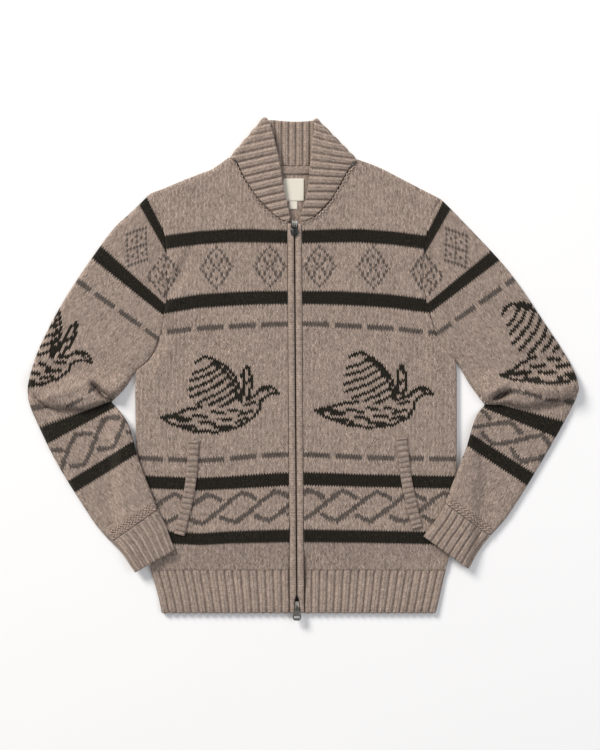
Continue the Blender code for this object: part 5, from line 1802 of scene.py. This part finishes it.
def look(name):
    """A new node material: its tree and its main shader."""
    material = bpy.data.materials.new(name)
    material.use_nodes = True
    tree = material.node_tree
    return material, tree, tree.nodes["Principled BSDF"]


def knit_look(name, settings, tint=1.0, relief=1.0, hollow=0.12, loose=False):
    """Heathered wool: each stitch leg is a round strand, with flecks, fuzz, a soft sheen and painted
    shade down between the strands.

    A loose strand is shaped as it is, so it needs no legs drawn on it.
    """
    material, tree, shader = look(name)
    if loose:
        yarn = put(tree, "ShaderNodeRGB")
        yarn.outputs[0].default_value = settings.ground_yarn
        strand = put(tree, "ShaderNodeValue").outputs[0]
        strand.default_value = 0.66
    else:
        yarn = put(tree, "ShaderNodeAttribute", attribute_name="yarn")
        place = put(tree, "ShaderNodeUVMap", uv_map="knit")
        split = put(tree, "ShaderNodeSeparateXYZ", [("Vector", place.outputs[0])])
        leg = maths(tree, "FRACT", maths(tree, "MULTIPLY", split.outputs["X"], 2.0))
        across = maths(tree, "POWER", maths(tree, "SINE", maths(tree, "MULTIPLY", leg, math.pi)), 0.6)
        course = maths(tree, "FRACT", split.outputs["Y"])
        hump = maths(tree, "SINE", maths(tree, "MULTIPLY", course, math.pi))
        strand = maths(tree, "MULTIPLY", across, maths(tree, "MULTIPLY_ADD", hump, 0.5, 0.5))

    where = put(tree, "ShaderNodeTexCoord").outputs["Object"]
    fleck = noise(tree, where, 720.0, 4.0, ("Roughness", 0.65))
    cloud = noise(tree, where, 95.0, 3.0)
    hair = noise(tree, where, 2600.0, 2.0)
    # Painted shade: the yarn's colour is darker down in the hollows between strands and lighter on their
    # tops; hollow sets how dark the hollows are
    tone = ranged(tree, strand, 0.0, 0.75, hollow, 1.36 - 0.8 * hollow)
    for grain, low, high, depth in ((fleck, 0.36, 0.64, 0.27), (cloud, 0.3, 0.7, 0.075),
                                    (hair, 0.3, 0.7, 0.12)):
        tone = maths(tree, "MULTIPLY", tone, ranged(tree, grain, low, high, 1 - depth, 1 + depth))
    paint = scaled(tree, yarn.outputs[0], maths(tree, "MULTIPLY", tone, tint))
    # Pale lint caught in the yarn, which shows on the dark stripes
    lint = scaled(tree, (1.0, 0.86, 0.66), ranged(tree, fleck, 0.51, 0.68, 0.0, 0.06))
    both = put(tree, "ShaderNodeVectorMath", [(0, paint), (1, lint)], operation="ADD")
    tree.links.new(both.outputs[0], shader.inputs["Base Color"])

    fuzz = maths(tree, "MULTIPLY_ADD", hair, 0.28, strand)
    nap = maths(tree, "MULTIPLY_ADD", fleck, 0.3, fuzz)
    bumped(tree, shader, nap, 0.9, settings.strand_relief * relief)
    shader.inputs["Roughness"].default_value = 0.94
    shader.inputs["Specular IOR Level"].default_value = 0.2
    shader.inputs["Sheen Weight"].default_value = 0.09
    shader.inputs["Sheen Roughness"].default_value = 0.55
    shader.inputs["Sheen Tint"].default_value = linear("#E8DCCF")
    return material


def woven_look(name, hexcode, pitch, relief, roughness):
    """A close plain weave: two crossing sets of threads, with painted shade in the gaps between them and
    a slight random tone.
    """
    material, tree, shader = look(name)
    where = put(tree, "ShaderNodeTexCoord").outputs["Object"]
    split = put(tree, "ShaderNodeSeparateXYZ", [("Vector", where)])
    waves = []
    for axis in ("X", "Y"):
        turns = maths(tree, "MULTIPLY", split.outputs[axis], math.pi / pitch)
        waves.append(maths(tree, "ABSOLUTE", maths(tree, "SINE", turns)))
    cross = maths(tree, "MULTIPLY", *waves)
    # Painted shade: colour darker where the threads dip between crossings, times a slight random tone
    tone = maths(tree, "MULTIPLY", maths(tree, "MULTIPLY_ADD", cross, 0.28, 0.74),
                 ranged(tree, noise(tree, where, 900.0, 3.0), 0.3, 0.7, 0.93, 1.07))
    tree.links.new(scaled(tree, linear(hexcode)[:3], tone), shader.inputs["Base Color"])
    bumped(tree, shader, cross, 0.6, relief)
    shader.inputs["Roughness"].default_value = roughness
    shader.inputs["Sheen Weight"].default_value = 0.15
    return material


def hard_look(name, hexcode, metallic, roughness, wear, gloss=0.0):
    """Cast metal or moulded plastic, rubbed a little lighter on its edges."""
    material, tree, shader = look(name)
    where = put(tree, "ShaderNodeTexCoord").outputs["Object"]
    grain = noise(tree, where, 650.0, 5.0)
    edges = put(tree, "ShaderNodeNewGeometry").outputs["Pointiness"]
    mix = put(tree, "ShaderNodeMix", [
        (0, ranged(tree, edges, 0.5, 0.62, 0.0, wear)), (6, linear(hexcode)),
        (7, linear("#B9B4AA"))], data_type="RGBA")
    tree.links.new(mix.outputs[2], shader.inputs["Base Color"])
    matt = ranged(tree, grain, 0.3, 0.7, roughness - 0.07, roughness + 0.1)
    tree.links.new(matt, shader.inputs["Roughness"])
    bumped(tree, shader, grain, 0.25, 0.00008)
    shader.inputs["Metallic"].default_value = metallic
    if gloss:
        shader.inputs["Coat Weight"].default_value = gloss
        shader.inputs["Coat Roughness"].default_value = 0.12
    elif not metallic:
        shader.inputs["Specular IOR Level"].default_value = 0.22
    return material


def make_looks(settings):
    """Every material of the sweater, named for what it is."""
    LOOKS["knit"] = knit_look("lambswool_jersey", settings, tint=1.1)
    LOOKS["rib"] = knit_look("lambswool_rib", settings, tint=1.1, relief=0.7, hollow=0.5)
    LOOKS["band"] = knit_look("lambswool_tubular_band", settings, tint=1.1, relief=0.6, hollow=0.55)
    LOOKS["seam"] = knit_look("linking_yarn", settings, relief=0.5, loose=True)
    # Damask woven cotton label, left blank
    LOOKS["label"] = woven_look("damask_cotton_label", TRIM_HEX["label"], 0.00042, 0.00006, 0.8)
    # Polyester zip tape in black
    LOOKS["tape"] = woven_look("polyester_zip_tape", TRIM_HEX["tape"], 0.0006, 0.0001, 0.7)
    LOOKS["teeth"] = hard_look("nylon_zip_teeth", TRIM_HEX["teeth"], 0.0, 0.42, 0.12)
    LOOKS["steel"] = hard_look("brushed_nickel_slider", TRIM_HEX["nickel"], 1.0, 0.3, 0.5)
    LOOKS["gunmetal"] = hard_look("gunmetal_ring", TRIM_HEX["gunmetal"], 1.0, 0.36, 0.4)
    LOOKS["enamel"] = hard_look("black_enamel_slider", TRIM_HEX["enamel"], 0.4, 0.3, 0.35)
    LOOKS["moulded"] = hard_look("black_moulded_pull", TRIM_HEX["moulded"], 0.0, 0.22, 0.06, gloss=0.35)


LOOKS = {}
TRIM_HEX = {
    "label": "#F4EDDD", "tape": "#161514", "teeth": "#1B1A19", "nickel": "#CFCBC2",
    "gunmetal": "#8C8983", "enamel": "#1C1B1A", "moulded": "#121111",
}


# Stage

CAMERA_X = 6.2
CAMERA_Y = -10.85
CAMERA_HIGH = 2610.0
CAMERA_LENS = 80.5
# Power of the soft lamp as a share of the key lamp's
SOFT_SHARE = 0.09


def lamp(name, place, size, power, hexcode):
    """A square lamp that shines at the middle of the garment."""
    data = bpy.data.lights.new(name, "AREA")
    data.shape = "SQUARE"
    data.size = size
    data.energy = power
    data.color = linear(hexcode)[:3]
    obj = shown(name, data)
    obj.location = place
    obj.rotation_euler = (-Vector(place)).to_track_quat("-Z", "Y").to_euler()
    return obj


def make_stage(settings):
    scene = bpy.context.scene
    mesh = bpy.data.meshes.new("table")
    with edited(mesh) as shape:
        bmesh.ops.create_grid(shape, x_segments=8, y_segments=8, size=4.0)
        bmesh.ops.translate(shape, verts=shape.verts, vec=(0.0, 0.0, -0.0003))
    table = shown("table", mesh)
    # Matt white paper sweep
    paper, tree, shader = look("white_paper_sweep")
    where = put(tree, "ShaderNodeTexCoord").outputs["Object"]
    tone = ranged(tree, noise(tree, where, 3.0, 2.0), 0.0, 1.0, settings.paper_tone - 0.01,
                  settings.paper_tone + 0.01)
    tree.links.new(tone, shader.inputs["Base Color"])
    shader.inputs["Roughness"].default_value = 0.95
    shader.inputs["Specular IOR Level"].default_value = 0.1
    shader.inputs["Emission Color"].default_value = (1.0, 1.0, 1.0, 1.0)
    shader.inputs["Emission Strength"].default_value = settings.paper_glow
    mesh.materials.append(paper)

    world = bpy.data.worlds.new("studio")
    world.use_nodes = True
    world.node_tree.nodes["Background"].inputs["Color"].default_value = linear("#F7F8FA")
    world.node_tree.nodes["Background"].inputs["Strength"].default_value = settings.fill_light
    scene.world = world
    key = lamp("key", (-4.2, 4.7, 4.45), 2.6, settings.key_light, "#FFFBF6")
    soft = lamp("soft", (2.4, 0.4, 4.0), 3.0, settings.key_light * SOFT_SHARE, "#F4F7FF")
    data = bpy.data.cameras.new("camera")
    data.lens = CAMERA_LENS
    camera = shown("camera", data)
    camera.location = (CAMERA_X * MM, CAMERA_Y * MM, CAMERA_HIGH * MM)
    scene.camera = camera
    scene.view_settings.view_transform = "Standard"


# The add-on: sizes and colours, an operator for each group of pieces, and a panel

class SweaterSettings(bpy.types.PropertyGroup):
    """Sizes and colours that a user would change."""

    ground_yarn: bpy.props.FloatVectorProperty(
        name="Ground yarn", description="Colour of the heathered ground", subtype="COLOR", size=4,
        default=linear(YARN_HEX[BASE]))
    dark_yarn: bpy.props.FloatVectorProperty(
        name="Dark yarn", description="Colour of the dark stripes and birds", subtype="COLOR",
        size=4, default=linear(YARN_HEX[DARK]))
    grey_yarn: bpy.props.FloatVectorProperty(
        name="Grey yarn", description="Colour of the dashes, diamonds and braid", subtype="COLOR",
        size=4, default=linear(YARN_HEX[GREY]))
    strand_relief: bpy.props.FloatProperty(
        name="Strand relief", description="How far each strand of yarn stands up", unit="LENGTH",
        default=0.0011)
    tooth_pitch: bpy.props.FloatProperty(
        name="Tooth pitch", description="Distance between zip teeth", unit="LENGTH",
        default=0.00105)
    link_pitch: bpy.props.FloatProperty(
        name="Linking pitch", description="Length of one linking stitch", unit="LENGTH",
        default=0.0036)
    key_light: bpy.props.FloatProperty(
        name="Key light", description="Power of the main light", unit="POWER", default=596.0)
    fill_light: bpy.props.FloatProperty(
        name="Fill light", description="Strength of the room's own light", default=0.31)
    paper_tone: bpy.props.FloatProperty(
        name="Paper tone", description="How white the paper sweep is", default=0.94)
    paper_glow: bpy.props.FloatProperty(
        name="Paper glow", description="How much the paper is lit from behind", default=0.05)


class SWEATER_OT_looks(bpy.types.Operator):
    """Make the wool, tape, label and metal materials"""

    bl_idname = "sweater.looks"
    bl_label = "Materials"

    def execute(self, context):
        settings = context.scene.sweater
        YARN[:] = [settings.ground_yarn[:], settings.dark_yarn[:], settings.grey_yarn[:]]
        make_looks(settings)
        return {"FINISHED"}


class SWEATER_OT_body(bpy.types.Operator):
    """Knit the back and the two fronts"""

    bl_idname = "sweater.body"
    bl_label = "Back and fronts"

    def execute(self, context):
        make_back(LOOKS["knit"])
        make_front(-1, "front_left", LOOKS["knit"])
        make_front(1, "front_right", LOOKS["knit"])
        return {"FINISHED"}


class SWEATER_OT_sleeves(bpy.types.Operator):
    """Knit both sleeves, bent at the elbow"""

    bl_idname = "sweater.sleeves"
    bl_label = "Sleeves"

    def execute(self, context):
        make_sleeve(LEFT_ARM, "sleeve_left", UPPER_SPINE_LEFT, FORE_SPINE_LEFT, UPPER_BANDS_LEFT,
                    FORE_BANDS_LEFT, LOOKS["knit"])
        make_sleeve(RIGHT_ARM, "sleeve_right", UPPER_SPINE_RIGHT, FORE_SPINE_RIGHT,
                    UPPER_BANDS_RIGHT, FORE_BANDS_RIGHT, LOOKS["knit"])
        return {"FINISHED"}


class SWEATER_OT_ribs(bpy.types.Operator):
    """Knit the hem bands, cuffs, pocket welts and collar"""

    bl_idname = "sweater.ribs"
    bl_label = "Ribs"

    def execute(self, context):
        rib = LOOKS["rib"]
        make_hem_back(rib)
        make_hem_front(-1, "hem_front_left", RIBS_HEM_LEFT, rib)
        make_hem_front(1, "hem_front_right", RIBS_HEM_RIGHT, rib)
        make_cuff(-1, CUFF_IN_LEFT, CUFF_OUT_LEFT, "cuff_left", rib)
        make_cuff(1, CUFF_IN_RIGHT, CUFF_OUT_RIGHT, "cuff_right", rib)
        make_welt(WELT_LEFT, "welt_left", rib)
        make_welt(WELT_RIGHT, "welt_right", rib)
        make_collar(rib)
        return {"FINISHED"}


class SWEATER_OT_zip(bpy.types.Operator):
    """Make the zip with its teeth, facings, sliders and pulls"""

    bl_idname = "sweater.zip"
    bl_label = "Zip"

    def execute(self, context):
        make_facing(-1, "placket_left", LOOKS["band"])
        make_facing(1, "placket_right", LOOKS["band"])
        make_zip(context.scene.sweater)
        make_slider("slider_top", TOP_SLIDER, 1.0, LOOKS["steel"], LOOKS["steel"])
        make_slider("slider_bottom", BOTTOM_SLIDER, -1.0, LOOKS["steel"],
                    LOOKS["enamel"])
        make_pull("pull_top", TOP_SLIDER, top_pull_outline(), None,
                  arc(0.0, -12.6, 5.0, 5.4, 0.0, 348.0, 30), LOOKS["moulded"])
        make_pull("pull_bottom", BOTTOM_SLIDER, ring_outline(),
                  arc(0.0, -15.0, 4.6, 1.9, 0.0, 345.0, 24), None, LOOKS["gunmetal"])
        return {"FINISHED"}


class SWEATER_OT_neck(bpy.types.Operator):
    """Make the neck tape, the blank label and its size tab"""

    bl_idname = "sweater.neck"
    bl_label = "Neck tape and label"

    def execute(self, context):
        make_neck()
        return {"FINISHED"}


class SWEATER_OT_seams(bpy.types.Operator):
    """Work the linking stitches and the herringbone rows"""

    bl_idname = "sweater.seams"
    bl_label = "Seam stitches"

    def execute(self, context):
        make_seams(context.scene.sweater)
        return {"FINISHED"}


class SWEATER_OT_stage(bpy.types.Operator):
    """Set up the paper sweep, the lights and the camera"""

    bl_idname = "sweater.stage"
    bl_label = "Stage"

    def execute(self, context):
        make_stage(context.scene.sweater)
        return {"FINISHED"}


OPERATORS = (SWEATER_OT_looks, SWEATER_OT_body, SWEATER_OT_sleeves, SWEATER_OT_ribs,
             SWEATER_OT_zip, SWEATER_OT_neck, SWEATER_OT_seams, SWEATER_OT_stage)


class SWEATER_PT_panel(bpy.types.Panel):
    """Shows the sweater's settings and a button for each group of pieces"""

    bl_idname = "SWEATER_PT_panel"
    bl_label = "Knitted sweater"
    bl_space_type = "VIEW_3D"
    bl_region_type = "UI"
    bl_category = "Knitwear"

    def draw(self, context):
        settings = context.scene.sweater
        for name in settings.bl_rna.properties.keys():
            if name not in ("rna_type", "name"):
                self.layout.prop(settings, name)
        for operator in OPERATORS:
            self.layout.operator(operator.bl_idname)


def register():
    for group in (SweaterSettings, *OPERATORS, SWEATER_PT_panel):
        bpy.utils.register_class(group)
    bpy.types.Scene.sweater = bpy.props.PointerProperty(type=SweaterSettings)


def unregister():
    del bpy.types.Scene.sweater
    for group in (SWEATER_PT_panel, *reversed(OPERATORS), SweaterSettings):
        bpy.utils.unregister_class(group)


def main():
    register()
    for operator in ("looks", "body", "sleeves", "ribs", "zip", "neck", "seams", "stage"):
        getattr(bpy.ops.sweater, operator)()
    bpy.context.view_layer.update()


if __name__ == "__main__":
    main()
